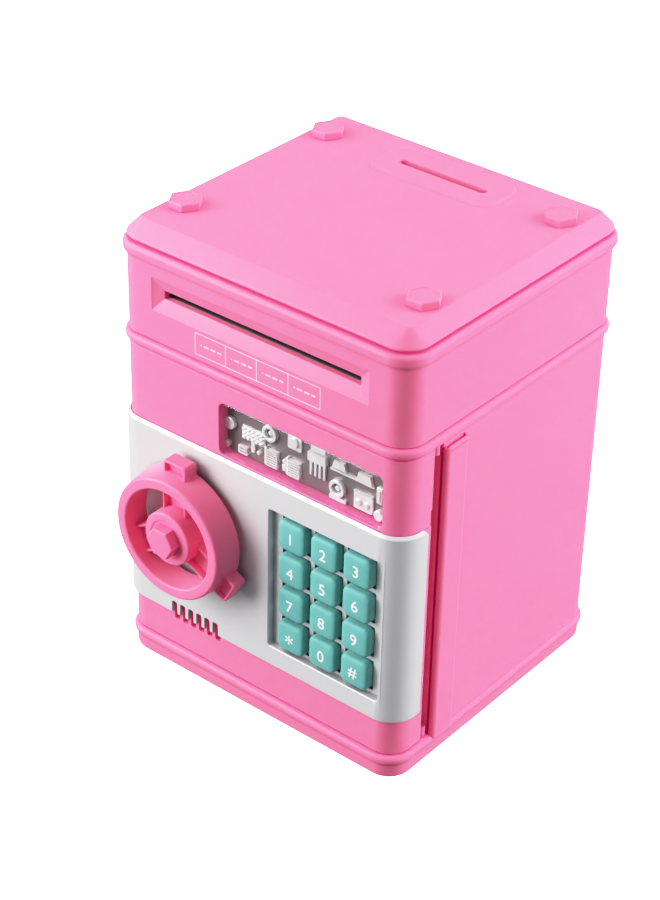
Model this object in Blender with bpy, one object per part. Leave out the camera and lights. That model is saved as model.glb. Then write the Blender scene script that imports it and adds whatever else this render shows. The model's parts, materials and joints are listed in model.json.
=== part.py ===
"""Toy safe coin bank: moulded body, note feeder, hinged door with keypad, handwheel latch and batteries.

All sizes below are millimetres. X runs to the hinge side, -Y is the front, +Z is up. The design axes
have their origin under the middle of the moulded body; FRONT_SHIFT then moves every piece so that the
row's origin is the bottom centre of the whole bounding box, handwheel included. A pair such as DOOR_Z is
a low and a high value along that axis.
"""

import math

import bmesh
import bpy
from mathutils import Matrix

MM = 0.001
FRONT_SHIFT = 8.55
FAR = 80.0
GAP = 0.3
RUNNING_FIT = 0.06
PRESS_FIT = 0.02
CORNER_STEPS = 5

# Moulded body: half width, half depth, corner radius and wall
BODY_X = 64.0
BODY_Y = 60.4
BODY_R = 9.2
WALL = 2.2
BEAD = 1.4
BASE_BOTTOM = 0.8
UNDERSIDE = 8.5
FLOOR_TOP = 10.7
SILL = 10.9
RIM_BOTTOM = 134.7
RIM_TOP = 139.05

# Lower body's section, up the outside and down the inside: offset from the body outline, height
LOWER_SECTION = (
    (-WALL, UNDERSIDE),
    (-WALL, BASE_BOTTOM),
    (-0.4, BASE_BOTTOM),
    (0.3, BASE_BOTTOM + 0.7),
    (0.5, 6.6),
    (1.1, 7.3),
    (1.5, 8.5),
    (1.3, 9.9),
    (0.6, 10.6),
    (0.0, FLOOR_TOP),
    (0.0, 134.9),
    (1.0, 135.2),
    (BEAD, 136.0),
    (BEAD, 137.7),
    (0.8, 138.7),
    (-0.4, RIM_TOP),
    (-WALL, RIM_TOP),
    (-WALL, FLOOR_TOP),
)

# Right-hand jamb and side bar, seen from above; the left-hand ones are mirrored
OPENING_BACK = -40.3
JAMB_BACK = -38.1
JAMB = (
    (56.8, -53.5),
    (58.8, -53.5),
    (58.8, OPENING_BACK),
    (62.8, OPENING_BACK),
    (62.8, JAMB_BACK),
    (56.8, JAMB_BACK),
)
JAMB_Z = (10.3, 136.4)
BAR = (
    (63.0, OPENING_BACK),
    (64.4, OPENING_BACK),
    (65.1, -40.1),
    (65.7, -39.5),
    (65.9, -38.8),
    (65.9, -29.7),
    (65.5, -29.1),
    (63.0, -28.9),
)
BAR_Z = (9.0, 134.2)
FOOT_X = 51.0
FOOT_Y = 47.0
FOOT_SECTION = ((5.0, 0.0), (5.6, 0.6), (5.6, UNDERSIDE - GAP))

# Upper housing and its sloped note mouth
HOUSING_BOTTOM = 139.35
HOUSING_TOP = 174.3
HOUSING_SECTION = (
    (0.0, HOUSING_BOTTOM),
    (0.0, 169.1),
    (0.9, 169.5),
    (BEAD, 170.4),
    (BEAD, 172.6),
    (0.9, 173.7),
    (-0.2, HOUSING_TOP),
    (-WALL, HOUSING_TOP),
    (-WALL, HOUSING_BOTTOM),
)
NOTE_X = (-43.0, 43.0)
NOTE_Z = (156.4, 159.6)
MOUTH_X = (-47.4, 47.4)
MOUTH_Z = (151.6, 164.1)
MOUTH_DEPTH = 1.8
MOUTH_BACKING = ((-49.5, 49.5), (150.0, 166.0))

# Lid, its coin slot and the caps on it
LID_BOTTOM = 175.0
LID_TOP = 181.6
LID_FLAT_X = 59.0
LID_FLAT_Y = 54.7
SKIRT_DEPTH = 3.4
CAP_X = 51.6
CAP_Y = 38.4
CAP_R = 6.0
CAP_HEIGHT = 2.5
CAP_STEM_R = 2.0
COIN_X = 1.4
COIN_Y = 38.0
COIN_SLOT = (19.0, 1.6)
COIN_PAD = (27.0, 11.5, 7.0)

# Note feeder: deck, cradle, rollers, gears, motor, coin chute and board
DECK_Z = (139.45, 141.3)
DECK_OPENINGS = ((-44.0, 6.0, 44.0, 22.0), (-20.0, 31.5, 23.0, 44.5))
GUIDE_TOP = 156.0
CHEEK_X = (46.0, 48.0)
CHEEK_Y = (-54.0, 5.0)
SHAFT_Y = -40.0
SHAFT_Z = 150.0
SHAFT_R = 1.5
ROLLER_R = 6.4
ROLLER_WIDTH = 12.0
ROLLER_STARTS = (("drive_roller_left", -30.0), ("drive_roller_right", 18.0))
ROLLER_WINDOW_Y = (-48.0, -32.0)
PINCH_R = 5.0
PINCH_Z = 161.8
PINCH_SECTION = ((SHAFT_R, -47.8), (SHAFT_R, -31.0), (PINCH_R, -30.8), (PINCH_R, -18.2), (SHAFT_R, -18.0))
FEED_MODULE = 0.8
FEED_TEETH = 18
PINION_TEETH = 8
PINION_Z = 147.2
GEAR_X = (49.2, 52.2)
PINION_X = (49.0, 52.0)
MOTOR_X = (31.8, 44.8)
CHUTE_Z = (141.6, 170.8)
CHUTE_TOP = (22.4, 6.0)
CHUTE_WALL = 1.2
BOARD_X = (-57.0, -50.8)

# Door: front panel, side returns, window, keypad, speaker slots and hinge
DOOR_Z = (11.2, 134.4)
DOOR_BACK = -44.5
SHELF_BACK = -55.6
SHELF_THICK = 2.0
HINGE_X = 62.2
HINGE_Y = -42.3
PIN_R = 0.8
LUG_R = 1.75
LUG_HEIGHT = 4.0
EAR = ((58.5, 63.4), (-46.0, -38.3))
EAR_HEIGHTS = ((134.8, 138.5), (6.6, 10.5))
PIN_HEIGHTS = (("hinge_pin_top", (130.6, 137.8)), ("hinge_pin_bottom", (7.6, 15.0)))
PANEL_BACK = -50.0
PLATE_OUT = 1.5
PLATE_Z = (26.5, 105.0)
PLATE_BACK = -46.9
WINDOW_X = (-17.1, 54.8)
WINDOW_Z = (106.2, 126.5)
WINDOW_R = 2.5
PAD_X = (6.9, 56.7)
PAD_Z = (34.9, 93.7)
PAD_FLOOR = -58.9
PAD_WALL = 1.0
KEY_NAMES = ("1", "2", "3", "4", "5", "6", "7", "8", "9", "star", "0", "hash")
KEY_PITCH = 14.4
KEY_HALF = 6.0
KEY_HOLE = 6.35
KEY_SECTION = (
    (KEY_HALF + 0.7, 1.0, -56.9),
    (KEY_HALF + 0.7, 1.0, -57.55),
    (KEY_HALF, 2.2, -57.55),
    (KEY_HALF, 2.2, -61.4),
    (KEY_HALF - 0.9, 2.0, -62.6),
)
GRILLE_X = -28.4
GRILLE_PITCH = 4.0
GRILLE_SLOTS = 6
GRILLE_HALF = 1.0
GRILLE_Z = (23.1, 32.1)
SPEAKER_Z = 33.0
SPEAKER_SECTION = ((14.0, -57.4), (14.0, -55.6), (9.0, -52.6), (7.0, -52.4), (7.0, -48.0))

# Relief behind the window: plain raised blocks (x, z, width, height) and two rings
RELIEF_PANEL = ((-19.5, -55.4, 104.2), (56.4, -54.2, 128.6))
RELIEF_Y = (-56.9, -55.0)
RELIEF_RINGS = ((6.4, 122.6), (36.0, 114.4))
RELIEF_RING_R = (3.0, 4.2)
RELIEF_BLOCKS = (
    (-14.5, 110.0, 4.0, 5.0),
    (-5.0, 115.5, 8.0, 4.0),
    (7.0, 111.0, 6.0, 8.0),
    (16.0, 110.5, 6.0, 8.0),
    (14.5, 121.5, 7.0, 4.5),
    (25.0, 116.5, 8.0, 6.0),
    (43.5, 110.5, 7.0, 6.5),
    (44.0, 120.0, 9.0, 4.0),
)

# Door's inner cover and its battery bay
COVER_X = (-55.8, 46.0)
COVER_Z = (14.0, 131.0)
COVER_Y = (-53.5, -36.0)
COVER_WALL = 1.6
CELL_R = 7.0
CELL_X = (-9.5, 41.0)
CELL_Y = -44.9
CELL_Z = (30.0, 45.4, 60.8)
CELL_TIP_R = 2.6
BAY_X = (CELL_X[0] - 1.2, CELL_X[1] + 1.2)
BAY_Z = (CELL_Z[0] - CELL_R - 0.8, CELL_Z[2] + CELL_R + 0.8)
BAY_WALL = 1.2
BATTERY_COVER_Y = (-37.5, -36.0)

# Handwheel, its shaft and gear, and the bolt it drives
WHEEL_X = -29.2
WHEEL_Z = 71.2
WHEEL_FRONT = -75.5
WHEEL_BACK = -64.5
WHEEL_PIVOT = (WHEEL_X, -60.0, WHEEL_Z)
RIM_OUTER = 24.1
RIM_INNER = 19.7
RIM_SECTION = (
    (RIM_INNER, WHEEL_BACK),
    (RIM_OUTER + 1.2, WHEEL_BACK),
    (RIM_OUTER, WHEEL_FRONT + 0.8),
    (RIM_OUTER - 0.7, WHEEL_FRONT),
    (RIM_INNER + 0.7, WHEEL_FRONT),
    (RIM_INNER, WHEEL_FRONT + 0.7),
)
HUB_R = 10.5
HUB_SECTION = ((HUB_R, WHEEL_BACK + 0.8), (HUB_R, WHEEL_FRONT + 1.0), (HUB_R - 0.9, WHEEL_FRONT + 0.4))
SPOKE = (HUB_R - 2.0, RIM_INNER + 1.5, 3.2, WHEEL_BACK - 0.4, WHEEL_FRONT + 4.5)
GRIP = (RIM_OUTER - 1.0, 29.6, 5.4, WHEEL_BACK - 0.3, WHEEL_FRONT + 5.0)
HUB_BOLT_SECTION = ((5.0, -75.4), (5.0, -78.4), (4.2, -79.0))
WHEEL_SHAFT_R = 2.5
WHEEL_SHAFT_Y = (-71.2, -45.0)
WHEEL_HOLE_R = 3.6
LATCH_MODULE = 1.0
LATCH_TEETH = 12
RACK_TEETH = range(-4, 4)
RACK_END = -14.0
BOLT_TIP = -55.4
BOLT_Y = (-50.0, -46.0)
BOLT_Z = (78.4, 86.0)
ADDENDUM = 0.75
DEDENDUM = 1.1

PINK = (0.93, 0.33, 0.55)
SILVER = (0.62, 0.61, 0.62)
TEAL = (0.22, 0.56, 0.53)
GREY = (0.35, 0.35, 0.37)
BLACK = (0.03, 0.03, 0.035)
GREEN = (0.05, 0.24, 0.12)
STEEL = (0.55, 0.55, 0.57)
WHITE = (0.85, 0.85, 0.84)
CLEAR = (0.85, 0.87, 0.88)


def material(name, colour, roughness, metallic=0.0):
    """One Principled material, shared by every piece moulded in it."""
    found = bpy.data.materials.get(name)
    if found:
        return found
    made = bpy.data.materials.new(name)
    made.use_nodes = True
    shader = made.node_tree.nodes["Principled BSDF"]
    shader.inputs["Base Color"].default_value = (*colour, 1.0)
    shader.inputs["Roughness"].default_value = roughness
    shader.inputs["Metallic"].default_value = metallic
    made.diffuse_color = (*colour, 1.0)
    return made


def place(axis, u, v, w):
    """A point from its in-plane coordinates u, v and its height w along the axis."""
    if axis == "X":
        return (w, u, v)
    if axis == "Y":
        return (u, w, v)
    return (u, v, w)


def rounded(half_u, half_v, radius, centre=(0.0, 0.0), steps=CORNER_STEPS):
    """Outline of a rectangle with round corners."""
    points = []
    corners = ((1, -1, -90.0), (1, 1, 0.0), (-1, 1, 90.0), (-1, -1, 180.0))
    for side_u, side_v, start in corners:
        middle_u = centre[0] + side_u * (half_u - radius)
        middle_v = centre[1] + side_v * (half_v - radius)
        for step in range(steps + 1):
            angle = math.radians(start + 90.0 * step / steps)
            points.append((middle_u + radius * math.cos(angle), middle_v + radius * math.sin(angle)))
    return points


def box_outline(low, high):
    """Outline of a plain rectangle between two corners."""
    return [(low[0], low[1]), (high[0], low[1]), (high[0], high[1]), (low[0], high[1])]


def circle(radius, steps=24, centre=(0.0, 0.0), start=0.0):
    """Outline of a regular polygon that stands for a circle."""
    points = []
    for step in range(steps):
        angle = math.radians(start) + 2.0 * math.pi * step / steps
        points.append((centre[0] + radius * math.cos(angle), centre[1] + radius * math.sin(angle)))
    return points


def add_skin(shape, levels, axis="Z", closed=False):
    """Bridge outlines of equal length; cap both ends, or join the last outline to the first."""
    rings = []
    for outline, height in levels:
        rings.append([shape.verts.new(place(axis, u, v, height)) for u, v in outline])
    pairs = list(zip(rings, rings[1:]))
    if closed:
        pairs.append((rings[-1], rings[0]))
    for lower, upper in pairs:
        count = len(lower)
        for index in range(count):
            following = (index + 1) % count
            shape.faces.new((lower[index], lower[following], upper[following], upper[index]))
    if not closed:
        shape.faces.new(list(reversed(rings[0])))
        shape.faces.new(rings[-1])


def skin(levels, axis="Z", closed=False):
    """A closed body from a stack of outlines."""
    shape = bmesh.new()
    add_skin(shape, levels, axis, closed)
    bmesh.ops.recalc_face_normals(shape, faces=shape.faces)
    return shape


def prism(outline, axis, low, high):
    """An outline pushed from one height to another along an axis."""
    return skin([(outline, low), (outline, high)], axis)


def block(low, high):
    """A plain block between two opposite corners."""
    return prism(box_outline(low[:2], high[:2]), "Z", low[2], high[2])


def turned(profile, axis, centre, steps=24):
    """A body turned about an axis from (radius, height) pairs that run from end to end."""
    levels = [(circle(radius, steps, centre), height) for radius, height in profile]
    return skin(levels, axis)


def tube(profile, axis, centre, steps=24):
    """A ring turned about an axis from a closed loop of (radius, height) pairs."""
    levels = [(circle(radius, steps, centre), height) for radius, height in profile]
    return skin(levels, axis, closed=True)


def gear_outline(teeth, module, centre, phase):
    """Outline of a spur gear with straight-sided teeth, the first one centred on the phase angle."""
    pitch_radius = module * teeth / 2.0
    tooth_angle = 2.0 * math.pi / teeth
    spans = ((-0.2945, -DEDENDUM), (-0.114, ADDENDUM), (0.114, ADDENDUM), (0.2945, -DEDENDUM))
    points = []
    for tooth in range(teeth):
        for offset, height in spans:
            angle = phase + tooth_angle * (tooth + offset)
            radius = pitch_radius + height * module
            points.append((centre[0] + radius * math.cos(angle), centre[1] + radius * math.sin(angle)))
    return points


def make(name, shape, surface, pivot=(0.0, 0.0, 0.0), smooth_deg=30.0):
    """Turn a body into a named object whose origin is its pivot."""
    bmesh.ops.translate(shape, verts=shape.verts, vec=(-pivot[0], -pivot[1], -pivot[2]))
    bmesh.ops.transform(shape, matrix=Matrix.Scale(MM, 4), verts=shape.verts)
    mesh = bpy.data.meshes.new(name)
    shape.to_mesh(mesh)
    shape.free()
    mesh.materials.append(surface)
    mesh.shade_smooth()
    mesh.set_sharp_from_angle(angle=math.radians(smooth_deg))
    piece = bpy.data.objects.new(name, mesh)
    bpy.context.scene.collection.objects.link(piece)
    piece.location = (pivot[0] * MM, (pivot[1] + FRONT_SHIFT) * MM, pivot[2] * MM)
    return piece


def combine(piece, shapes, operation):
    """Join or cut a piece with one or more bodies given in design axes."""
    for shape in shapes:
        tool = make("tool", shape, piece.data.materials[0])
        change = piece.modifiers.new("combine", "BOOLEAN")
        change.operation = operation
        change.solver = "EXACT"
        change.object = tool
        bpy.context.view_layer.update()
        graph = bpy.context.evaluated_depsgraph_get()
        result = bpy.data.meshes.new_from_object(piece.evaluated_get(graph))
        piece.modifiers.clear()
        old = piece.data
        piece.data = result
        old_name = old.name
        bpy.data.meshes.remove(old)
        result.name = old_name
        tool_mesh = tool.data
        bpy.data.objects.remove(tool)
        bpy.data.meshes.remove(tool_mesh)


def join(piece, *shapes):
    """Add bodies to a piece."""
    combine(piece, shapes, "UNION")


def cut(piece, *shapes):
    """Take bodies away from a piece."""
    combine(piece, shapes, "DIFFERENCE")


def body_outline(offset):
    """Outline of the moulded body, grown or shrunk by an offset with its corners concentric."""
    return rounded(BODY_X + offset, BODY_Y + offset, BODY_R + offset)


def section(pairs):
    """Levels for skin() from (offset from the body outline, height) pairs."""
    return [(body_outline(offset), height) for offset, height in pairs]


def front_edge(offset, first=0.0):
    """Front of the body outline, from an angle on the right-hand corner to the same on the left."""
    reach = BODY_R + offset
    right = []
    for step in range(CORNER_STEPS + 1):
        angle = math.radians(first - (90.0 + first) * step / CORNER_STEPS)
        x = BODY_X - BODY_R + reach * math.cos(angle)
        y = BODY_R - BODY_Y + reach * math.sin(angle)
        right.append((x, y))
    return right + [(-x, y) for x, y in reversed(right)]


def wrap_sheet(outer, inner, back, low, high):
    """A sheet that follows the body's front and both front corners, back along the sides to a line."""
    outline = []
    for offset in (outer, inner):
        wrap = [(BODY_X + offset, back), *front_edge(offset), (-BODY_X - offset, back)]
        outline += wrap if offset == outer else reversed(wrap)
    return prism(outline, "Z", low, high)


def front_cap(offset, back, low, high):
    """The part of the body outline in front of a line that crosses both corners."""
    first = math.degrees(math.asin((back + BODY_Y - BODY_R) / (BODY_R + offset)))
    return prism(front_edge(offset, first), "Z", low, high)


def middle_of(pair):
    """Middle of a low and high value."""
    return (pair[0] + pair[1]) / 2.0


def half_of(pair):
    """Half the distance between a low and high value."""
    return (pair[1] - pair[0]) / 2.0


def hinge_bore(clearance, low, high):
    """A cutter on the hinge's axis."""
    return prism(circle(PIN_R + clearance, 16, (HINGE_X, HINGE_Y)), "Z", low, high)


def build_lower_body(pink):
    """Base, walls and top rim in one moulding, with the door opening, jambs and side bars."""
    body = make("lower_body", skin(section(LOWER_SECTION)), pink)
    cut(body, block((-FAR, -FAR, SILL), (FAR, OPENING_BACK, RIM_BOTTOM)))
    for side in (1, -1):
        jamb = [(side * x, y) for x, y in JAMB]
        bar = [(side * x, y) for x, y in BAR]
        join(body, prism(jamb, "Z", *JAMB_Z), prism(bar, "Z", *BAR_Z))
    for low, high in EAR_HEIGHTS:
        join(body, block((EAR[0][0], EAR[1][0], low), (EAR[0][1], EAR[1][1], high)))
    bolt_play = 0.8
    cut(
        body,
        hinge_bore(0.05, 134.0, 138.0),
        hinge_bore(0.05, 7.4, 12.0),
        block(
            (-60.0, BOLT_Y[0] - bolt_play, BOLT_Z[0] - bolt_play),
            (-56.0, BOLT_Y[1] + bolt_play, BOLT_Z[1] + bolt_play),
        ),
    )


def build_feet(rubber):
    """Four small rubber feet under the base's corners."""
    for end, side_y in (("front", -1), ("back", 1)):
        for side, side_x in (("left", -1), ("right", 1)):
            centre = (side_x * FOOT_X, side_y * FOOT_Y)
            make(f"foot_{end}_{side}", turned(FOOT_SECTION, "Z", centre, 20), rubber)


def build_upper_housing(pink):
    """Top section: a wall with a bead round its top edge and the sloped mouth of the note slot."""
    housing = make("upper_housing", skin(section(HOUSING_SECTION), closed=True), pink)
    wide = box_outline((MOUTH_X[0], MOUTH_Z[0]), (MOUTH_X[1], MOUTH_Z[1]))
    narrow = box_outline((NOTE_X[0], NOTE_Z[0]), (NOTE_X[1], NOTE_Z[1]))
    mouth = [(wide, -BODY_Y - 0.1), (narrow, MOUTH_DEPTH - BODY_Y - 0.1), (narrow, 4.5 - BODY_Y)]
    backing_x, backing_z = MOUTH_BACKING
    join(
        housing,
        block((backing_x[0], 1.5 - BODY_Y, backing_z[0]), (backing_x[1], 4.0 - BODY_Y, backing_z[1])),
    )
    cut(housing, skin(mouth, "Y"))


def lid_flat(grow, radius):
    """Outline of the lid's flat top, grown by an amount."""
    return rounded(LID_FLAT_X + grow, LID_FLAT_Y + grow, radius)


def build_lid(pink):
    """Bevelled lid with a locating skirt, a raised coin pad, the coin slot and four cap holes."""
    inner = -WALL - 1.9
    levels = [
        (lid_flat(-0.9, 1.6), LID_TOP),
        (lid_flat(0.0, 2.4), LID_TOP - 0.35),
        (body_outline(-GAP), LID_BOTTOM + 1.2),
        (body_outline(0.1), LID_BOTTOM + 0.7),
        (body_outline(0.1), LID_BOTTOM),
        (body_outline(-WALL - GAP), LID_BOTTOM),
        (body_outline(-WALL - GAP), LID_BOTTOM - SKIRT_DEPTH),
        (body_outline(inner), LID_BOTTOM - SKIRT_DEPTH),
        (body_outline(inner), LID_BOTTOM),
        (lid_flat(-1.5, 2.0), LID_TOP - WALL),
    ]
    lid = make("lid", skin(levels), pink)
    half_x, half_y, radius = COIN_PAD
    pad = rounded(half_x, half_y, radius, (COIN_X, COIN_Y))
    slot = rounded(*COIN_SLOT, COIN_SLOT[1] - 0.01, (COIN_X, COIN_Y))
    join(lid, prism(pad, "Z", LID_TOP - 1.0, LID_TOP + 0.5))
    cut(lid, prism(slot, "Z", LID_BOTTOM, LID_TOP + CAP_HEIGHT))
    for side_x in (1, -1):
        for side_y in (1, -1):
            hole = circle(CAP_STEM_R + GAP, 12, (side_x * CAP_X, side_y * CAP_Y))
            cut(lid, prism(hole, "Z", LID_BOTTOM, LID_TOP + CAP_HEIGHT))


def build_caps(pink):
    """Four hexagonal caps that snap into the lid."""
    for end, side_y in (("front", -1), ("back", 1)):
        for side, side_x in (("left", -1), ("right", 1)):
            centre = (side_x * CAP_X, side_y * CAP_Y)
            head = circle(CAP_R, 6, centre)
            top = circle(CAP_R - 0.7, 6, centre)
            levels = [(head, LID_TOP + 0.1), (head, LID_TOP + 1.9), (top, LID_TOP + CAP_HEIGHT)]
            cap = make(f"hex_cap_{end}_{side}", skin(levels), pink)
            join(cap, prism(circle(CAP_STEM_R, 12, centre), "Z", LID_TOP - 3.6, LID_TOP + 0.5))


def pinion_centre():
    """Y and Z of the motor pinion, in mesh with the feed gear."""
    distance = FEED_MODULE * (FEED_TEETH + PINION_TEETH) / 2.0
    return SHAFT_Y + math.sqrt(distance**2 - (SHAFT_Z - PINION_Z) ** 2), PINION_Z


def build_deck(grey):
    """Floor of the upper housing, with openings for a note and for coins."""
    deck = make("mechanism_deck", prism(rounded(61.4, 57.8, 6.6), "Z", *DECK_Z), grey)
    for low_x, low_y, high_x, high_y in DECK_OPENINGS:
        cut(deck, block((low_x, low_y, DECK_Z[0] - 1.0), (high_x, high_y, DECK_Z[1] + 1.0)))


def build_cradle(white):
    """Note guide between two cheeks that carry the shafts."""
    floor = DECK_Z[1] + GAP
    front, back = CHEEK_Y
    guide = block((-CHEEK_X[1], front, GUIDE_TOP - 1.6), (CHEEK_X[1], back, GUIDE_TOP))
    cradle = make("roller_cradle", guide, white)
    shoulder = GUIDE_TOP + 2.0
    top = shoulder + 8.0
    cheek = [(front, floor), (back, floor), (back, shoulder), (-30.0, top), (-50.0, top), (front, shoulder)]
    for side in (1, -1):
        low, high = sorted((side * CHEEK_X[0], side * CHEEK_X[1]))
        join(cradle, prism(cheek, "X", low, high))
    bore = SHAFT_R + RUNNING_FIT
    cut(
        cradle,
        prism(circle(bore, 20, (SHAFT_Y, SHAFT_Z)), "X", -FAR, FAR),
        prism(circle(bore, 20, (SHAFT_Y, PINCH_Z)), "X", -FAR, FAR),
        prism(circle(1.2, 16, pinion_centre()), "X", 40.0, FAR),
    )
    for _, start in ROLLER_STARTS:
        low = (start - 1.0, ROLLER_WINDOW_Y[0], SHAFT_Z)
        cut(cradle, block(low, (start + ROLLER_WIDTH + 1.0, ROLLER_WINDOW_Y[1], SHAFT_Z + 10.0)))


def build_drive(steel, rubber, white):
    """Feed shaft with two rollers and a gear, the motor with its pinion, and the pinch roller."""
    centre = (SHAFT_Y, SHAFT_Z)
    pivot = (0.0, *centre)
    make("drive_shaft", prism(circle(SHAFT_R, 20, centre), "X", -49.0, 53.5), steel, pivot)
    bore = SHAFT_R + PRESS_FIT
    for name, start in ROLLER_STARTS:
        end = start + ROLLER_WIDTH
        profile = ((bore, start), (ROLLER_R, start), (ROLLER_R, end), (bore, end))
        make(name, tube(profile, "X", centre), rubber, pivot)
    pinion = pinion_centre()
    mesh_angle = math.atan2(pinion[1] - SHAFT_Z, pinion[0] - SHAFT_Y)
    gear = prism(gear_outline(FEED_TEETH, FEED_MODULE, centre, mesh_angle), "X", *GEAR_X)
    drive_gear = make("drive_gear", gear, white, pivot)
    cut(drive_gear, prism(circle(bore, 20, centre), "X", 45.0, 60.0))
    phase = mesh_angle + math.pi + math.pi / PINION_TEETH
    teeth = prism(gear_outline(PINION_TEETH, FEED_MODULE, pinion, phase), "X", *PINION_X)
    motor_pinion = make("motor_pinion", teeth, steel, (0.0, *pinion))
    join(motor_pinion, prism(circle(0.9, 12, pinion), "X", 45.0, PINION_X[0] + 0.5))
    make("feed_motor", prism(rounded(6.0, 5.0, 2.5, pinion, 3), "X", *MOTOR_X), steel)
    mirrored = tuple((radius, -x) for radius, x in reversed(PINCH_SECTION))
    centre = (SHAFT_Y, PINCH_Z)
    make("pinch_roller", turned(PINCH_SECTION + mirrored, "X", centre, 20), rubber, (0.0, *centre))


def build_coin_chute(grey):
    """Tapered tube from under the coin slot down to the deck."""
    half_x, half_y = CHUTE_TOP
    narrowing = 1.6
    low, high = CHUTE_Z
    levels = []
    for half, wall, radius, height in (
        (half_x, 0.0, 2.0, high),
        (half_x - narrowing, 0.0, 2.0, low),
        (half_x - narrowing, CHUTE_WALL, 1.0, low),
        (half_x, CHUTE_WALL, 1.0, high),
    ):
        levels.append((rounded(half - wall, half_y - wall, radius, (COIN_X, COIN_Y), 2), height))
    make("coin_chute", skin(levels, closed=True), grey)


def build_control_board(green):
    """Upright circuit board by the left wall, with two plain components on it."""
    face = BOARD_X[1] + 0.4
    board = make("control_board", block((BOARD_X[1], -22.0, 143.6), (BOARD_X[1] + 1.6, 26.0, 168.0)), green)
    join(
        board,
        block((-54.0, -14.0, 150.0), (face, -4.0, 160.0)),
        block((-56.6, 4.0, 147.0), (face, 14.0, 154.0)),
    )


def grille_slots(low, high):
    """Cutters for six upright slots in front of the speaker."""
    slots = []
    for index in range(GRILLE_SLOTS):
        x = GRILLE_X + GRILLE_PITCH * (index - (GRILLE_SLOTS - 1) / 2.0)
        slots.append(block((x - GRILLE_HALF, -FAR, low), (x + GRILLE_HALF, PANEL_BACK, high)))
    return slots


def wheel_hole():
    """Cutter for the shaft's hole through the door's front."""
    return prism(circle(WHEEL_HOLE_R, 20, (WHEEL_X, WHEEL_Z)), "Y", -FAR, PANEL_BACK)


def window_outline(shrink, radius):
    """Outline of the window, shrunk by an amount."""
    middle = (middle_of(WINDOW_X), middle_of(WINDOW_Z))
    return rounded(half_of(WINDOW_X) - shrink, half_of(WINDOW_Z) - shrink, radius, middle, 3)


def build_door(pink):
    """Door moulding: front panel, side returns, top and bottom shelves and hinge lugs."""
    door = make("door_shell", wrap_sheet(0.0, -WALL, DOOR_BACK, *DOOR_Z), pink)
    bottom, top = DOOR_Z
    for low, high in ((top - SHELF_THICK, top), (bottom, bottom + SHELF_THICK)):
        join(door, front_cap(-1.2, SHELF_BACK, low, high))
    lug = circle(LUG_R, 16, (HINGE_X, HINGE_Y))
    for low, high in ((top - LUG_HEIGHT, top), (bottom, bottom + LUG_HEIGHT)):
        join(door, block((61.9, -45.2, low), (63.9, -42.4, high)), prism(lug, "Z", low, high))
        cut(door, hinge_bore(RUNNING_FIT, low - 1.0, high + 1.0))
    pad_low = (PAD_X[0] - PAD_WALL - GAP, -FAR, PAD_Z[0] - PAD_WALL - GAP)
    pad_high = (PAD_X[1] + PAD_WALL + GAP, PANEL_BACK, PAD_Z[1] + PAD_WALL + GAP)
    cut(
        door,
        prism(window_outline(0.0, WINDOW_R), "Y", -FAR, PANEL_BACK),
        block(pad_low, pad_high),
        wheel_hole(),
        *grille_slots(*GRILLE_Z),
    )


def key_centres():
    """Name and centre of each key, row by row from the top."""
    centres = []
    for index, name in enumerate(KEY_NAMES):
        row, column = divmod(index, 3)
        x = middle_of(PAD_X) + KEY_PITCH * (column - 1)
        z = middle_of(PAD_Z) + KEY_PITCH * (1.5 - row)
        centres.append((f"key_{name}", x, z))
    return centres


def chamfered(half, chamfer, centre):
    """Outline of a square with its corners cut off."""
    inner = half - chamfer
    points = []
    for turn in range(4):
        angle = math.radians(90.0 * turn)
        for u, v in ((half, -inner), (half, inner)):
            x = centre[0] + u * math.cos(angle) - v * math.sin(angle)
            z = centre[1] + u * math.sin(angle) + v * math.cos(angle)
            points.append((x, z))
    return points


def build_faceplate(silver):
    """Thin plate over the door's lower front, with the keypad pan moulded in."""
    plate = make("faceplate", wrap_sheet(PLATE_OUT, GAP, PLATE_BACK, *PLATE_Z), silver)
    front = -BODY_Y - PLATE_OUT
    pan_low = (PAD_X[0] - PAD_WALL, front + 0.2, PAD_Z[0] - PAD_WALL)
    pan_high = (PAD_X[1] + PAD_WALL, PAD_FLOOR + PAD_WALL, PAD_Z[1] + PAD_WALL)
    join(plate, block(pan_low, pan_high))
    cut(plate, block((PAD_X[0], front - 3.0, PAD_Z[0]), (PAD_X[1], PAD_FLOOR, PAD_Z[1])))
    for _, x, z in key_centres():
        cut(plate, prism(chamfered(KEY_HOLE, 1.4, (x, z)), "Y", PAD_FLOOR - 3.1, PAD_FLOOR + 3.9))
    outside_y = PLATE_BACK + 1.0
    for edge, outward, depth_y, depth_z in ((PLATE_Z[1], 1.0, 3.0, 3.0), (PLATE_Z[0], -1.0, 4.0, 4.0)):
        corner = [
            (PLATE_BACK - depth_y, edge + outward),
            (outside_y, edge + outward),
            (outside_y, edge - outward * depth_z),
        ]
        cut(plate, prism(corner, "X", -FAR, FAR))
    cut(plate, wheel_hole(), *grille_slots(PLATE_Z[0] - 1.0, GRILLE_Z[1]))


def build_keys(teal):
    """Twelve rubber keys, each with a flange that keeps it behind the pan."""
    for name, x, z in key_centres():
        levels = [(rounded(half, half, radius, (x, z), 1), y) for half, radius, y in KEY_SECTION]
        make(name, skin(levels, "Y"), teal, (x, -57.0, z))


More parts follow.
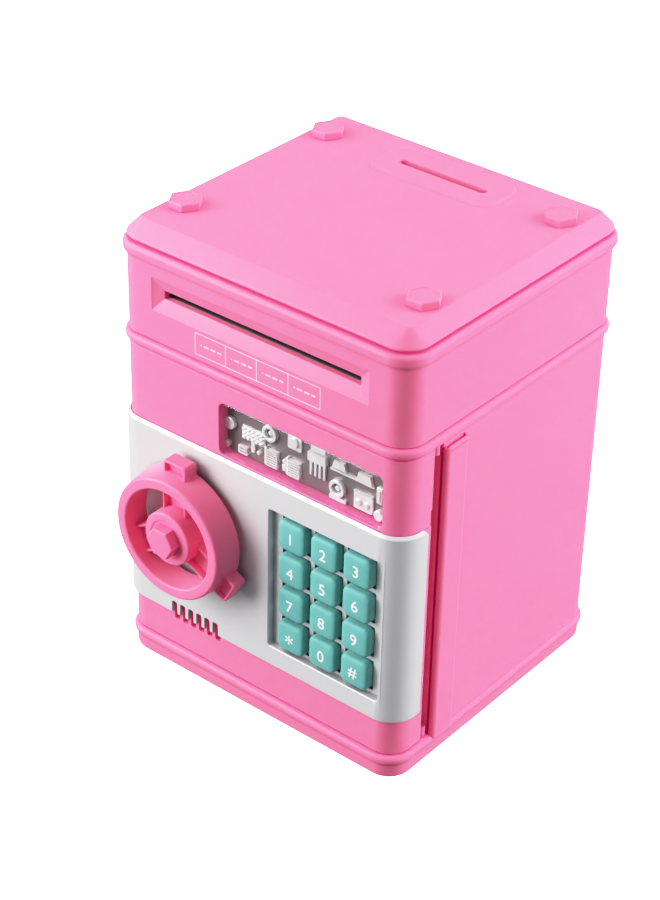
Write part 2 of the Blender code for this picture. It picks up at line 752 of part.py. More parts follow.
def build_window(clear, white):
    """Clear lens, and the relief panel behind it."""
    make("window_lens", prism(window_outline(GAP, WINDOW_R - GAP), "Y", -60.0, -59.0), clear)
    panel = make("relief_panel", block(*RELIEF_PANEL), white)
    front, back = RELIEF_Y
    inner, outer = RELIEF_RING_R
    for centre in RELIEF_RINGS:
        join(panel, tube(((inner, back), (outer, back), (outer, front), (inner, front)), "Y", centre, 16))
    for x, z, width, height in RELIEF_BLOCKS:
        join(panel, block((x, front, z), (x + width, back, z + height)))


def build_door_fittings(green, black, steel):
    """Boards, speaker, lock solenoid and hinge pins."""
    make("keypad_board", block((8.0, -55.4, 36.0), (55.0, -54.0, 92.6)), green)
    make("led_board", block((-17.0, -53.0, 107.0), (42.0, -51.4, 124.0)), green)
    make("speaker", turned(SPEAKER_SECTION, "Y", (GRILLE_X, SPEAKER_Z)), black)
    make("lock_solenoid", block((-50.0, -51.0, 88.0), (-32.0, -42.0, 102.0)), steel)
    for name, heights in PIN_HEIGHTS:
        make(name, hinge_bore(0.0, *heights), steel)


def build_inner_cover(pink):
    """Rear tray of the door, open for the battery bay and for the bolt."""
    middle = (middle_of(COVER_X), middle_of(COVER_Z))

    def outline(shrink):
        return rounded(half_of(COVER_X) - shrink, half_of(COVER_Z) - shrink, 3.0 - shrink, middle, 2)

    levels = [
        (outline(0.0), COVER_Y[1]),
        (outline(0.0), COVER_Y[0]),
        (outline(COVER_WALL), COVER_Y[0]),
        (outline(COVER_WALL), COVER_Y[1] - COVER_WALL),
    ]
    cover = make("door_inner_cover", skin(levels, "Y"), pink)
    cut(
        cover,
        block((BAY_X[0], -40.0, BAY_Z[0]), (BAY_X[1], -30.0, BAY_Z[1])),
        block((-60.0, BOLT_Y[0] - GAP, BOLT_Z[0] - COVER_WALL), (-50.0, BOLT_Y[1] + GAP, BOLT_Z[1] + GAP)),
    )


def build_batteries(pink, black, steel, grey):
    """Battery box, its three cells, and the battery cover with its screw."""
    box_low = (BAY_X[0] - BAY_WALL, COVER_Y[0] + 0.1, BAY_Z[0] - BAY_WALL)
    box_high = (BAY_X[1] + BAY_WALL, -37.9, BAY_Z[1] + BAY_WALL)
    battery_box = make("battery_box", block(box_low, box_high), black)
    cut(battery_box, block((BAY_X[0], box_low[1] + BAY_WALL, BAY_Z[0]), (BAY_X[1], -30.0, BAY_Z[1])))
    low_y, high_y = BATTERY_COVER_Y
    plate = block((BAY_X[0] + GAP, low_y, BAY_Z[0] + GAP), (BAY_X[1] - GAP, high_y, BAY_Z[1] - GAP))
    battery_cover = make("battery_cover", plate, pink)
    screw_centre = (middle_of(BAY_X), BAY_Z[1] - 4.0)
    cut(battery_cover, prism(circle(1.6, 12, screw_centre), "Y", -40.0, -30.0))
    screw = ((1.3, low_y - 0.1), (1.3, high_y - 0.6), (1.5, high_y - 0.5), (1.5, high_y))
    make("battery_cover_screw", turned(screw, "Y", screw_centre, 12), steel)
    low, high = CELL_X
    cell = ((CELL_R, low), (CELL_R, high - 1.6), (CELL_TIP_R, high - 1.5), (CELL_TIP_R, high))
    for index, z in enumerate(CELL_Z):
        make(f"battery_{index + 1}", turned(cell, "X", (CELL_Y, z), 20), grey)


def radial_block(centre, angle, sizes):
    """A block that points away from a centre: inner and outer reach, half width, back and front."""
    low, high, half, back, front = sizes
    outline = []
    for along, across in ((low, -half), (high, -half), (high, half), (low, half)):
        u = centre[0] + along * math.cos(angle) - across * math.sin(angle)
        v = centre[1] + along * math.sin(angle) + across * math.cos(angle)
        outline.append((u, v))
    return prism(outline, "Y", back, front)


def build_handwheel(pink, steel, white):
    """Handwheel with three spokes and three grip lugs, its hub bolt, shaft and latch gear."""
    centre = (WHEEL_X, WHEEL_Z)
    wheel = make("handwheel", tube(RIM_SECTION, "Y", centre, 40), pink, WHEEL_PIVOT)
    join(wheel, turned(HUB_SECTION, "Y", centre, 28))
    for spoke in range(3):
        angle = math.radians(90.0 + 120.0 * spoke)
        join(wheel, radial_block(centre, angle, SPOKE), radial_block(centre, angle, GRIP))
    bore = circle(WHEEL_SHAFT_R + PRESS_FIT, 20, centre)
    cut(wheel, prism(bore, "Y", WHEEL_SHAFT_Y[0] - GAP, -55.0))
    bolt = [(circle(radius, 6, centre), y) for radius, y in HUB_BOLT_SECTION]
    make("wheel_hub_bolt", skin(bolt, "Y"), pink, WHEEL_PIVOT)
    make("wheel_shaft", prism(circle(WHEEL_SHAFT_R, 20, centre), "Y", *WHEEL_SHAFT_Y), steel, WHEEL_PIVOT)
    teeth = gear_outline(LATCH_TEETH, LATCH_MODULE, centre, math.pi / 2.0)
    gear = prism(teeth, "Y", BOLT_Y[0] + GAP, BOLT_Y[1] - GAP)
    latch_gear = make("latch_gear", gear, white, WHEEL_PIVOT)
    cut(latch_gear, prism(bore, "Y", -60.0, -40.0))


def build_latch_bolt(steel):
    """Sliding bolt with rack teeth along its lower edge, in mesh with the latch gear."""
    pitch_z = WHEEL_Z + LATCH_MODULE * LATCH_TEETH / 2.0
    pitch = math.pi * LATCH_MODULE
    root_z = pitch_z + DEDENDUM * LATCH_MODULE
    tip_z = pitch_z - ADDENDUM * LATCH_MODULE
    rack = [(BOLT_TIP, BOLT_Z[1]), (BOLT_TIP, root_z)]
    for tooth in RACK_TEETH:
        middle = WHEEL_X + pitch * (tooth + 0.5)
        for offset, z in ((-0.3, root_z), (-0.1, tip_z), (0.1, tip_z), (0.3, root_z)):
            rack.append((middle + pitch * offset, z))
    rack += [(RACK_END, root_z), (RACK_END, BOLT_Z[1])]
    make("latch_bolt", prism(rack, "Y", *BOLT_Y), steel)


def build_all():
    """Build every piece of the bank."""
    pink = material("pink_abs", PINK, 0.22)
    silver = material("silver_paint", SILVER, 0.34, 0.6)
    teal = material("teal_rubber", TEAL, 0.5)
    grey = material("grey_plastic", GREY, 0.5)
    black = material("black_plastic", BLACK, 0.5)
    rubber = material("black_rubber", BLACK, 0.8)
    green = material("circuit_board", GREEN, 0.4)
    steel = material("steel", STEEL, 0.3, 1.0)
    white = material("white_plastic", WHITE, 0.4)
    clear = material("clear_plastic", CLEAR, 0.08)
    build_lower_body(pink)
    build_feet(rubber)
    build_upper_housing(pink)
    build_lid(pink)
    build_caps(pink)
    build_deck(grey)
    build_cradle(white)
    build_drive(steel, rubber, white)
    build_coin_chute(grey)
    build_control_board(green)
    build_door(pink)
    build_faceplate(silver)
    build_keys(teal)
    build_window(clear, white)
    build_door_fittings(green, black, steel)
    build_inner_cover(pink)
    build_batteries(pink, black, steel, grey)
    build_handwheel(pink, steel, white)
    build_latch_bolt(steel)


for existing in list(bpy.data.objects):
    bpy.data.objects.remove(existing)
build_all()
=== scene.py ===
"""Toy safe coin bank: the visual model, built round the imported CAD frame.

Lengths in the mesh code are millimetres on the design axes: X to the hinge side, -Y to the front, +Z up,
with the origin under the middle of the moulded body. to_metres() turns them into the frame's metres.
"""

import json
import math

import bmesh
import bpy
from mathutils import Matrix, Vector


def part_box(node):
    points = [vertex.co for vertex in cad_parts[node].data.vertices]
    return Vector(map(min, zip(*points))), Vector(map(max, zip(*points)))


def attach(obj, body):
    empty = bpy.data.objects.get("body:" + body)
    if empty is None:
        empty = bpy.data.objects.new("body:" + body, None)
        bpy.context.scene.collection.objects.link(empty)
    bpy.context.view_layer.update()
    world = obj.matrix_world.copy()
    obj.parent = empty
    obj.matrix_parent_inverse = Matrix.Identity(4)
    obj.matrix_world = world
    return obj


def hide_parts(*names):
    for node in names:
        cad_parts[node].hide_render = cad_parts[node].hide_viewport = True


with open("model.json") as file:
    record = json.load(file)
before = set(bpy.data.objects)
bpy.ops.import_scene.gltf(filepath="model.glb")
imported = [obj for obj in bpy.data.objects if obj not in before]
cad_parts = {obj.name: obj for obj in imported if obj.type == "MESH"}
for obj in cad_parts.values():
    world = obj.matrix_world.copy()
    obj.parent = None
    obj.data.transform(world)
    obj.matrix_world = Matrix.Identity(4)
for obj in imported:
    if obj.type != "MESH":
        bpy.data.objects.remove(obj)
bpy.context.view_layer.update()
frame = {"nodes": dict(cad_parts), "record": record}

MM = 0.001  # metres in a millimetre
FAR = 90.0  # past every surface, for cutters
ARC = 12  # steps in a quarter round
PLACE_Y = sum(corner.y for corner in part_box("lower_body")) / 2.0 / MM


def span(node):
    """A CAD node's lowest and highest corner, in millimetres on the design axes."""
    low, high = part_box(node)
    shift = Vector((0.0, PLACE_Y, 0.0))
    return low / MM - shift, high / MM - shift


def middle(node):
    """The middle of a CAD node's box, in millimetres on the design axes."""
    low, high = span(node)
    return (low + high) / 2.0


def front_face(node):
    """Centre and half sizes of a CAD node's box as seen from the front."""
    low, high = span(node)
    centre = ((low.x + high.x) / 2.0, (low.z + high.z) / 2.0)
    return centre, (high.x - low.x) / 2.0, (high.z - low.z) / 2.0


# ---------------- sizes read from the frame
BODY_LOW, BODY_HIGH = span("lower_body")
HOUSING_LOW, HOUSING_HIGH = span("upper_housing")
DOOR_LOW, DOOR_HIGH = span("door_shell")
PLATE_LOW, PLATE_HIGH = span("faceplate")
LID_LOW, LID_HIGH = span("lid")
HUB = middle("wheel_shaft")
PIN = tuple(middle("hinge_pin_top")[:2])
GRILLE_X = middle("speaker").x

BODY_X = DOOR_HIGH.x
BODY_Y = -DOOR_LOW.y
BEAD = HOUSING_HIGH.x - BODY_X
BASE_Z = BODY_LOW.z
RIM_Z = BODY_HIGH.z

# ---------------- sizes shared by several pieces
WALL = 2.2
CORNER = 9.2
GAP = 0.3
JAMB_Y = -40.3  # where the doorway's jambs and the side bars start
PIN_SEAT = 0.85
PIN_BORE = 0.86
LUG_RADIUS = 1.35
PAD_RISE = 0.5  # the coin pad over the lid's flat top
LID_TOP = LID_HIGH.z - PAD_RISE
HEX_RADIUS = 6.3
PANEL_BACK = -55.6  # behind the door's front panel
CUT_END = -50.0  # where cutters through the door's front end
WINDOW_DROP = 0.35
LENS, LENS_X, LENS_Z = front_face("window_lens")
WINDOW = (LENS[0], LENS[1] - WINDOW_DROP)
WINDOW_X = LENS_X + GAP
WINDOW_Z = LENS_Z + GAP + WINDOW_DROP
KEYS = ("1", "2", "3", "4", "5", "6", "7", "8", "9", "star", "0", "hash")
KEY_CROWN = -62.59
PAN_LOW = (6.9, 34.9)
PAN_HIGH = (56.7, 93.7)
PAN = ((PAN_LOW[0] + PAN_HIGH[0]) / 2.0, (PAN_LOW[1] + PAN_HIGH[1]) / 2.0)
PAN_X = (PAN_HIGH[0] - PAN_LOW[0]) / 2.0
PAN_Z = (PAN_HIGH[1] - PAN_LOW[1]) / 2.0


# ---------------- outlines
def place(axis, u, v, w):
    """A point from its place in an outline's plane and its height along the named axis."""
    if axis == "X":
        return (w, u, v)
    if axis == "Y":
        return (u, w, v)
    return (u, v, w)


def rounded(half_u, half_v, radius, centre=(0.0, 0.0), steps=ARC):
    """Outline of a rectangle with round corners."""
    points = []
    for side_u, side_v, start in ((1, -1, -90.0), (1, 1, 0.0), (-1, 1, 90.0), (-1, -1, 180.0)):
        mid_u = centre[0] + side_u * (half_u - radius)
        mid_v = centre[1] + side_v * (half_v - radius)
        for step in range(steps + 1):
            angle = math.radians(start + 90.0 * step / steps)
            points.append((mid_u + radius * math.cos(angle), mid_v + radius * math.sin(angle)))
    return points


def tiers(half_u, half_v, centre, steps, rows, lift=0.0):
    """Levels of round-cornered rectangles from rows of (growth, corner radius, height)."""
    levels = []
    for grow, radius, height in rows:
        levels.append((rounded(half_u + grow, half_v + grow, radius, centre, steps), lift + height))
    return levels


def circle(radius, steps, centre=(0.0, 0.0)):
    points = []
    for step in range(steps):
        angle = 2.0 * math.pi * step / steps
        points.append((centre[0] + radius * math.cos(angle), centre[1] + radius * math.sin(angle)))
    return points


def arc(centre_u, centre_v, radius, start, end, steps):
    """Points of an arc, for rounding a section; angles in degrees."""
    points = []
    for step in range(steps + 1):
        angle = math.radians(start + (end - start) * step / steps)
        points.append((centre_u + radius * math.cos(angle), centre_v + radius * math.sin(angle)))
    return points


# ---------------- solids
def add_skin(shape, levels, axis, closed=False):
    """Skin over levels of (outline, height), which all have equally many points."""
    rings = []
    for outline, height in levels:
        rings.append([shape.verts.new(place(axis, u, v, height)) for u, v in outline])
    bridge(shape, rings, closed)


def add_walls(shape, rings):
    """Faces between neighbouring rings of equally many vertices."""
    for lower, upper in zip(rings, rings[1:]):
        for index in range(len(lower)):
            following = (index + 1) % len(lower)
            shape.faces.new((lower[index], lower[following], upper[following], upper[index]))


def bridge(shape, rings, closed):
    """Join rings of vertices; cap both ends, or join the last ring to the first."""
    if closed:
        add_walls(shape, rings + rings[:1])
    else:
        add_walls(shape, rings)
        shape.faces.new(list(reversed(rings[0])))
        shape.faces.new(rings[-1])


def skin(levels, axis="Z", closed=False):
    shape = bmesh.new()
    add_skin(shape, levels, axis, closed)
    bmesh.ops.recalc_face_normals(shape, faces=shape.faces)
    return shape


def prism(outline, axis, low, high):
    return skin([(outline, low), (outline, high)], axis)


def block(low, high):
    outline = [(low[0], low[1]), (high[0], low[1]), (high[0], high[1]), (low[0], high[1])]
    return prism(outline, "Z", low[2], high[2])


def turned(profile, axis, centre, steps=48):
    """A solid from pairs of a radius and a height."""
    return skin([(circle(radius, steps, centre), height) for radius, height in profile], axis)


def tube(profile, axis, centre, steps):
    """A ring from a closed section of radius and height pairs."""
    return skin([(circle(radius, steps, centre), height) for radius, height in profile], axis, closed=True)


def swept(path, section):
    """A section of (outward, height) pairs carried along a path of (point, outward direction) stations."""
    shape = bmesh.new()
    rings = []
    for (x, y), (nx, ny) in path:
        rings.append([shape.verts.new((x + nx * out, y + ny * out, z)) for out, z in section])
    bridge(shape, rings, False)
    bmesh.ops.recalc_face_normals(shape, faces=shape.faces)
    return shape


def spun(shape, angle, centre):
    """Turn a solid about a line along Y through a centre given as (x, z)."""
    turn = Matrix.Rotation(-angle, 4, "Y")
    there = Matrix.Translation((centre[0], 0.0, centre[1]))
    bmesh.ops.transform(shape, matrix=there @ turn @ there.inverted(), verts=shape.verts)
    return shape


def to_metres(shape):
    bmesh.ops.translate(shape, verts=shape.verts, vec=(0.0, PLACE_Y, 0.0))
    bmesh.ops.transform(shape, matrix=Matrix.Scale(MM, 4), verts=shape.verts)


def mesh_object(name, shape, surface):
    to_metres(shape)
    mesh = bpy.data.meshes.new(name)
    shape.to_mesh(mesh)
    shape.free()
    mesh.materials.append(surface)
    made = bpy.data.objects.new(name, mesh)
    bpy.context.scene.collection.objects.link(made)
    return made


def combine(piece, shapes, operation):
    """Join or cut a piece with solids given in design millimetres."""
    for shape in shapes:
        tool = mesh_object("tool", shape, piece.data.materials[0])
        change = piece.modifiers.new("combine", "BOOLEAN")
        change.operation = operation
        change.solver = "EXACT"
        change.object = tool
        bpy.context.view_layer.update()
        graph = bpy.context.evaluated_depsgraph_get()
        result = bpy.data.meshes.new_from_object(piece.evaluated_get(graph))
        piece.modifiers.clear()
        old = piece.data
        piece.data = result
        bpy.data.meshes.remove(old)
        tool_mesh = tool.data
        bpy.data.objects.remove(tool)
        bpy.data.meshes.remove(tool_mesh)


def join(piece, *shapes):
    combine(piece, shapes, "UNION")


def cut(piece, *shapes):
    combine(piece, shapes, "DIFFERENCE")


def settle(piece, body, slot, *nodes, sharp=32.0):
    """Shade a finished piece, fix it to its CAD body and hide the CAD nodes it stands for; slot is not used.
    """
    mesh = piece.data
    mesh.shade_smooth()
    mesh.set_sharp_from_angle(angle=math.radians(sharp))
    weigh = piece.modifiers.new("weighted", "WEIGHTED_NORMAL")
    weigh.keep_sharp = True
    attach(piece, body)
    if nodes:
        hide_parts(*nodes)


# ---------------- materials
class Surface:
    """A Principled material with helpers for procedural detail in object space."""

    def __init__(self, name, colour, roughness, metallic=0.0):
        self.material = bpy.data.materials.new(name)
        self.material.use_nodes = True
        self.tree = self.material.node_tree
        self.shader = self.tree.nodes["Principled BSDF"]
        self.fix("Base Color", (*colour, 1.0))
        self.fix("Roughness", roughness)
        self.fix("Metallic", metallic)
        self.space = self.tree.nodes.new("ShaderNodeTexCoord").outputs["Object"]
        self.normal = None

    def node(self, kind, **values):
        """A new node with constant inputs; _ stands for a space in an input's name."""
        node = self.tree.nodes.new(f"ShaderNode{kind}")
        for name, value in values.items():
            node.inputs[name.replace("_", " ")].default_value = value
        return node

    def fix(self, socket, value):
        self.shader.inputs[socket].default_value = value

    def link(self, start, end):
        self.tree.links.new(start, end)

    def stretch(self, x, y, z, turn=(0.0, 0.0, 0.0)):
        """Object space scaled unevenly, for grain or scratches that run one way."""
        node = self.node("Mapping", Scale=(x, y, z), Rotation=turn)
        self.link(self.space, node.inputs["Vector"])
        return node.outputs["Vector"]

    def noise(self, size_mm, detail, rough=0.5, vector=None):
        node = self.node("TexNoise", Scale=1.0 / (size_mm * MM), Detail=detail, Roughness=rough)
        self.link(vector or self.space, node.inputs["Vector"])
        return node.outputs["Fac"]

    def cells(self, size_mm):
        node = self.node("TexVoronoi", Scale=1.0 / (size_mm * MM))
        self.link(self.space, node.inputs["Vector"])
        return node.outputs["Distance"]

    def hollow(self, reach_mm):
        """How open the surface is within a short reach: 1 in the open, 0 deep in a groove."""
        node = self.node("AmbientOcclusion", Distance=reach_mm * MM)
        node.samples = 4
        return node.outputs["AO"]

    def spread(self, value, low, high, from_low=0.3, from_high=0.7):
        """A value's range from_low to from_high mapped to low to high, and held outside it."""
        node = self.node("MapRange", From_Min=from_low, From_Max=from_high, To_Min=low, To_Max=high)
        self.link(value, node.inputs["Value"])
        return node.outputs["Result"]

    def blend(self, value, first, second):
        """Colour between two colours."""
        node = self.node("Mix")
        node.data_type = "RGBA"
        node.inputs["A"].default_value = (*first, 1.0)
        node.inputs["B"].default_value = (*second, 1.0)
        self.link(value, node.inputs["Factor"])
        return node.outputs["Result"]

    def overlay(self, value, below, colour):
        """A second colour laid over a first colour output."""
        node = self.node("Mix")
        node.data_type = "RGBA"
        self.link(below, node.inputs["A"])
        node.inputs["B"].default_value = (*colour, 1.0)
        self.link(value, node.inputs["Factor"])
        return node.outputs["Result"]

    def add(self, first, second):
        node = self.node("Math")
        self.link(first, node.inputs[0])
        self.link(second, node.inputs[1])
        return node.outputs[0]

    def set(self, socket, output):
        self.link(output, self.shader.inputs[socket])

    def bump(self, value, height_mm, strength):
        """One more layer of relief over the layers added before."""
        node = self.node("Bump", Distance=height_mm * MM, Strength=strength)
        self.link(value, node.inputs["Height"])
        if self.normal:
            self.link(self.normal, node.inputs["Normal"])
        self.normal = node.outputs["Normal"]
        self.link(self.normal, self.shader.inputs["Normal"])


def shade(colour, factor):
    return tuple(min(1.0, channel * factor) for channel in colour)


def pink_plastic():
    """Satin pink ABS: flow marks, pale specks, orange peel, hair scratches and handling haze.

    Creases get painted shade, a deeper pink, and a painted faint red glow in them stands for light that
    bleeds through.
    """
    base = (0.83, 0.155, 0.297)
    paler = (0.835, 0.158, 0.302)
    speck = (0.86, 0.27, 0.42)
    # painted shade: the deeper pink laid into creases
    deep = (0.74, 0.055, 0.30)
    # painted glow: colour of the faint red light the creases give off
    painted_glow = (0.075, 0.0, 0.018)
    made = Surface("pink_abs", base, 0.24)
    flow = made.noise(45.0, 2.0, 0.5, made.stretch(1.0, 1.0, 0.45))
    colour = made.blend(made.spread(flow, 0.0, 1.0), shade(base, 0.98), paler)
    specks = made.spread(made.noise(0.35, 1.0), 0.0, 0.22, 0.76, 0.84)
    dusted = made.overlay(specks, colour, speck)
    # painted shade: ambient occlusion turns creases, grooves and gaps a deeper pink
    opening = made.hollow(3.5)
    painted_shade_mask = made.spread(opening, 0.85, 0.0, 0.08, 0.78)
    made.set("Base Color", made.overlay(painted_shade_mask, dusted, deep))
    # painted glow: the creases emit faint red light, though nothing there is a lamp
    made.set("Emission Strength", made.spread(opening, 1.0, 0.0, 0.02, 0.40))
    made.fix("Emission Color", (*painted_glow, 1.0))
    haze = made.spread(made.noise(24.0, 3.0, 0.55), 0.29, 0.34)
    scratch = made.noise(0.8, 2.0, 0.6, made.stretch(1.0, 1.0, 0.05, (0.35, 0.5, 0.2)))
    made.set("Roughness", made.add(haze, made.spread(scratch, 0.0, 0.05, 0.64, 0.80)))
    made.bump(made.noise(1.6, 1.0), 0.006, 0.5)
    made.bump(made.noise(0.3, 1.0), 0.001, 0.3)
    made.fix("Specular IOR Level", 0.14)
    made.fix("Subsurface Weight", 0.35)
    made.fix("Subsurface Scale", 3.0 * MM)
    made.fix("Subsurface Radius", (1.0, 0.12, 0.25))
    return made.material


def silver_paint():
    """Satin silver paint: fine flake, sprayed mottling, uneven gloss and painted shade in the creases."""
    # painted shade: the near black laid into creases
    dark = (0.06, 0.06, 0.065)
    made = Surface("silver_paint", (0.64, 0.635, 0.64), 0.33, 0.28)
    flake = made.spread(made.cells(0.3), 0.0, 1.0, 0.1, 0.75)
    colour = made.blend(flake, (0.67, 0.665, 0.67), (0.62, 0.615, 0.62))
    cloud = made.spread(made.noise(22.0, 3.0), 0.0, 0.5)
    clouded = made.overlay(cloud, colour, (0.64, 0.62, 0.64))
    # painted shade: ambient occlusion darkens the creases
    painted_shade_mask = made.spread(made.hollow(5.0), 0.92, 0.0, 0.12, 0.72)
    made.set("Base Color", made.overlay(painted_shade_mask, clouded, dark))
    made.set("Roughness", made.spread(made.noise(9.0, 4.0, 0.6), 0.29, 0.37))
    made.bump(made.noise(2.6, 1.0), 0.004, 0.3)
    return made.material


def teal_rubber():
    """Silicone rubber: matt, slightly dusty, with a fine moulded grain and painted shade in the creases."""
    base = (0.100, 0.335, 0.312)
    dust_tone = (0.30, 0.48, 0.46)
    # painted shade: the near black laid into creases
    dark = (0.006, 0.02, 0.02)
    made = Surface("teal_rubber", base, 0.52)
    tone = made.spread(made.noise(5.0, 3.0), 0.0, 1.0)
    colour = made.blend(tone, shade(base, 0.95), shade(base, 1.06))
    dust = made.spread(made.noise(0.5, 2.0, 0.6), 0.0, 0.22, 0.6, 0.8)
    dusted = made.overlay(dust, colour, dust_tone)
    # painted shade: ambient occlusion darkens the creases
    painted_shade_mask = made.spread(made.hollow(2.0), 0.96, 0.0, 0.12, 0.5)
    made.set("Base Color", made.overlay(painted_shade_mask, dusted, dark))
    made.set("Roughness", made.spread(made.noise(3.0, 3.0), 0.44, 0.60))
    made.bump(made.noise(0.4, 1.0), 0.004, 0.4)
    made.fix("Specular IOR Level", 0.25)
    made.fix("Sheen Weight", 0.06)
    return made.material


def moulded(name, base, rough, grain_mm=0.6, metallic=0.0):
    """Plain moulded plastic or rubber with tone variation, uneven gloss and grain."""
    made = Surface(name, base, rough, metallic)
    tone = made.spread(made.noise(9.0, 3.0), 0.0, 1.0)
    colour = made.blend(tone, shade(base, 0.90), shade(base, 1.12))
    wear = made.spread(made.noise(1.2, 3.0, 0.65), 0.0, 0.3, 0.62, 0.8)
    pale = tuple(channel * 0.7 + 0.12 for channel in base)
    made.set("Base Color", made.overlay(wear, colour, pale))
    made.set("Roughness", made.spread(made.noise(5.0, 3.0), rough - 0.08, min(1.0, rough + 0.09)))
    made.bump(made.noise(grain_mm, 2.0), 0.02, 0.5)
    return made.material


def steel():
    """Bright turned steel with drawing lines and a few dull spots."""
    dull, bright = (0.48, 0.48, 0.50), (0.62, 0.62, 0.64)
    made = Surface("steel", (0.55, 0.55, 0.57), 0.3, 1.0)
    lines = made.noise(0.35, 3.0, 0.6, made.stretch(0.05, 1.0, 1.0))
    made.set("Base Color", made.blend(made.spread(lines, 0.0, 1.0), dull, bright))
    made.set("Roughness", made.spread(made.noise(3.0, 4.0), 0.29, 0.42))
    made.bump(lines, 0.01, 0.4)
    return made.material


def circuit():
    """Green lacquered laminate with copper tracks under the lacquer and weave in the surface."""
    made = Surface("circuit_board", (0.03, 0.20, 0.08), 0.35)
    black, grey, white = (0.0, 0.0, 0.0, 1.0), (0.15, 0.15, 0.15, 1.0), (1.0, 1.0, 1.0, 1.0)
    tracks = made.node("TexBrick", Scale=160.0, Color1=black, Color2=grey, Mortar=white, Mortar_Size=0.05)
    made.link(made.stretch(1.0, 1.0, 1.0, (math.pi / 2.0, 0.0, 0.0)), tracks.inputs["Vector"])
    colour = made.blend(tracks.outputs["Color"], (0.02, 0.16, 0.06), (0.10, 0.34, 0.15))
    dirt = made.spread(made.noise(4.0, 4.0), 0.0, 0.35)
    made.set("Base Color", made.overlay(dirt, colour, (0.03, 0.12, 0.06)))
    made.set("Roughness", made.spread(made.noise(2.0, 3.0), 0.28, 0.46))
    made.bump(made.cells(0.6), 0.01, 0.4)
    return made.material


def battery_sleeve():
    """Plain cell: dark printed sleeve with a bright band towards the positive end."""
    made = Surface("battery_can", (0.10, 0.10, 0.11), 0.28, 0.4)
    split = made.node("SeparateXYZ")
    made.link(made.space, split.inputs["Vector"])
    low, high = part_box("battery_1")
    band_share = 0.72
    edge = low.x + band_share * (high.x - low.x)
    band = made.spread(split.outputs["X"], 0.0, 1.0, edge, edge + 0.4 * MM)
    tone = made.blend(band, (0.06, 0.065, 0.08), (0.62, 0.40, 0.16))
    scuffs = made.spread(made.noise(2.0, 4.0), 0.0, 0.25)
    made.set("Base Color", made.overlay(scuffs, tone, (0.2, 0.2, 0.2)))
    made.set("Roughness", made.spread(made.noise(3.0, 3.0), 0.29, 0.38))
    made.bump(made.noise(1.5, 1.0), 0.01, 0.4)
    return made.material


def clear_plastic():
    """Clear lens: it mirrors by Fresnel and lets the rest through, with faint rub marks."""
    made = Surface("clear_plastic", (0.95, 0.95, 0.95), 0.05, 1.0)
    facing = made.node("LayerWeight", Blend=0.5)
    steep = made.node("Math")
    steep.operation = "POWER"
    steep.inputs[1].default_value = 5.0
    made.link(facing.outputs["Facing"], steep.inputs[0])
    rubs = made.spread(made.noise(0.8, 3.0, 0.6), 0.035, 0.055, 0.55, 0.75)
    made.set("Alpha", made.add(steep.outputs[0], rubs))
    made.set("Roughness", made.spread(made.noise(6.0, 3.0), 0.03, 0.09))
    return made.material


def ink():
    """White pad-printing ink with slightly uneven cover."""
    made = Surface("white_ink", (0.86, 0.86, 0.86), 0.45)
    cover = made.spread(made.noise(0.7, 3.0), 0.0, 1.0)
    made.set("Base Color", made.blend(cover, (0.78, 0.80, 0.80), (0.90, 0.91, 0.91)))
    made.set("Roughness", made.spread(made.noise(1.1, 2.0), 0.38, 0.55))
    made.bump(made.noise(0.3, 1.0), 0.004, 0.4)
    return made.material


PINK = pink_plastic()
SILVER = silver_paint()
TEAL = teal_rubber()
INK = ink()
SLOT_LOOKS = {
    "pink_abs": PINK,
    "silver_paint": SILVER,
    "teal_rubber": TEAL,
    "grey_plastic": moulded("grey_plastic", (0.20, 0.20, 0.215), 0.5),
    "black_plastic": moulded("black_plastic", (0.03, 0.03, 0.033), 0.45),
    "black_rubber": moulded("black_rubber", (0.022, 0.022, 0.022), 0.75, 0.4),
    "circuit_board": circuit(),
    "steel": steel(),
    "white_plastic": moulded("white_plastic", (0.78, 0.77, 0.75), 0.4),
    "clear_plastic": clear_plastic(),
    "battery_can": battery_sleeve(),
}
RELIEF_BACK = moulded("relief_back", (0.20, 0.165, 0.17), 0.38, 0.8, 0.5)
RELIEF_PART = moulded("relief_part", (0.88, 0.88, 0.88), 0.38, 0.5, 0.5)
PRINT = moulded("pale_print", (0.80, 0.47, 0.60), 0.45, 0.4)

for row in frame["record"]["subparts"]:
    for look in frame["nodes"][row["node"]].material_slots:
        look.material = SLOT_LOOKS[row["material_slot"]]


# ---------------- moulded body
def body_outline(offset):
    return rounded(BODY_X + offset, BODY_Y + offset, CORNER + offset)


def section(pairs, lift=0.0):
    """Levels round the body from pairs of an outward offset and a height."""
    return [(body_outline(offset), lift + height) for offset, height in pairs]


def jamb(side):
    """Post behind one edge of the doorway, stepped in plan."""
    inner, step, outer = 56.8, 58.8, 62.8
    front, back = -53.5, -38.1
    low, high = 10.3, 136.4
    plan = ((inner, front), (step, front), (step, JAMB_Y), (outer, JAMB_Y), (outer, back), (inner, back))
    return prism([(side * x, y) for x, y in plan], "Z", low, high)


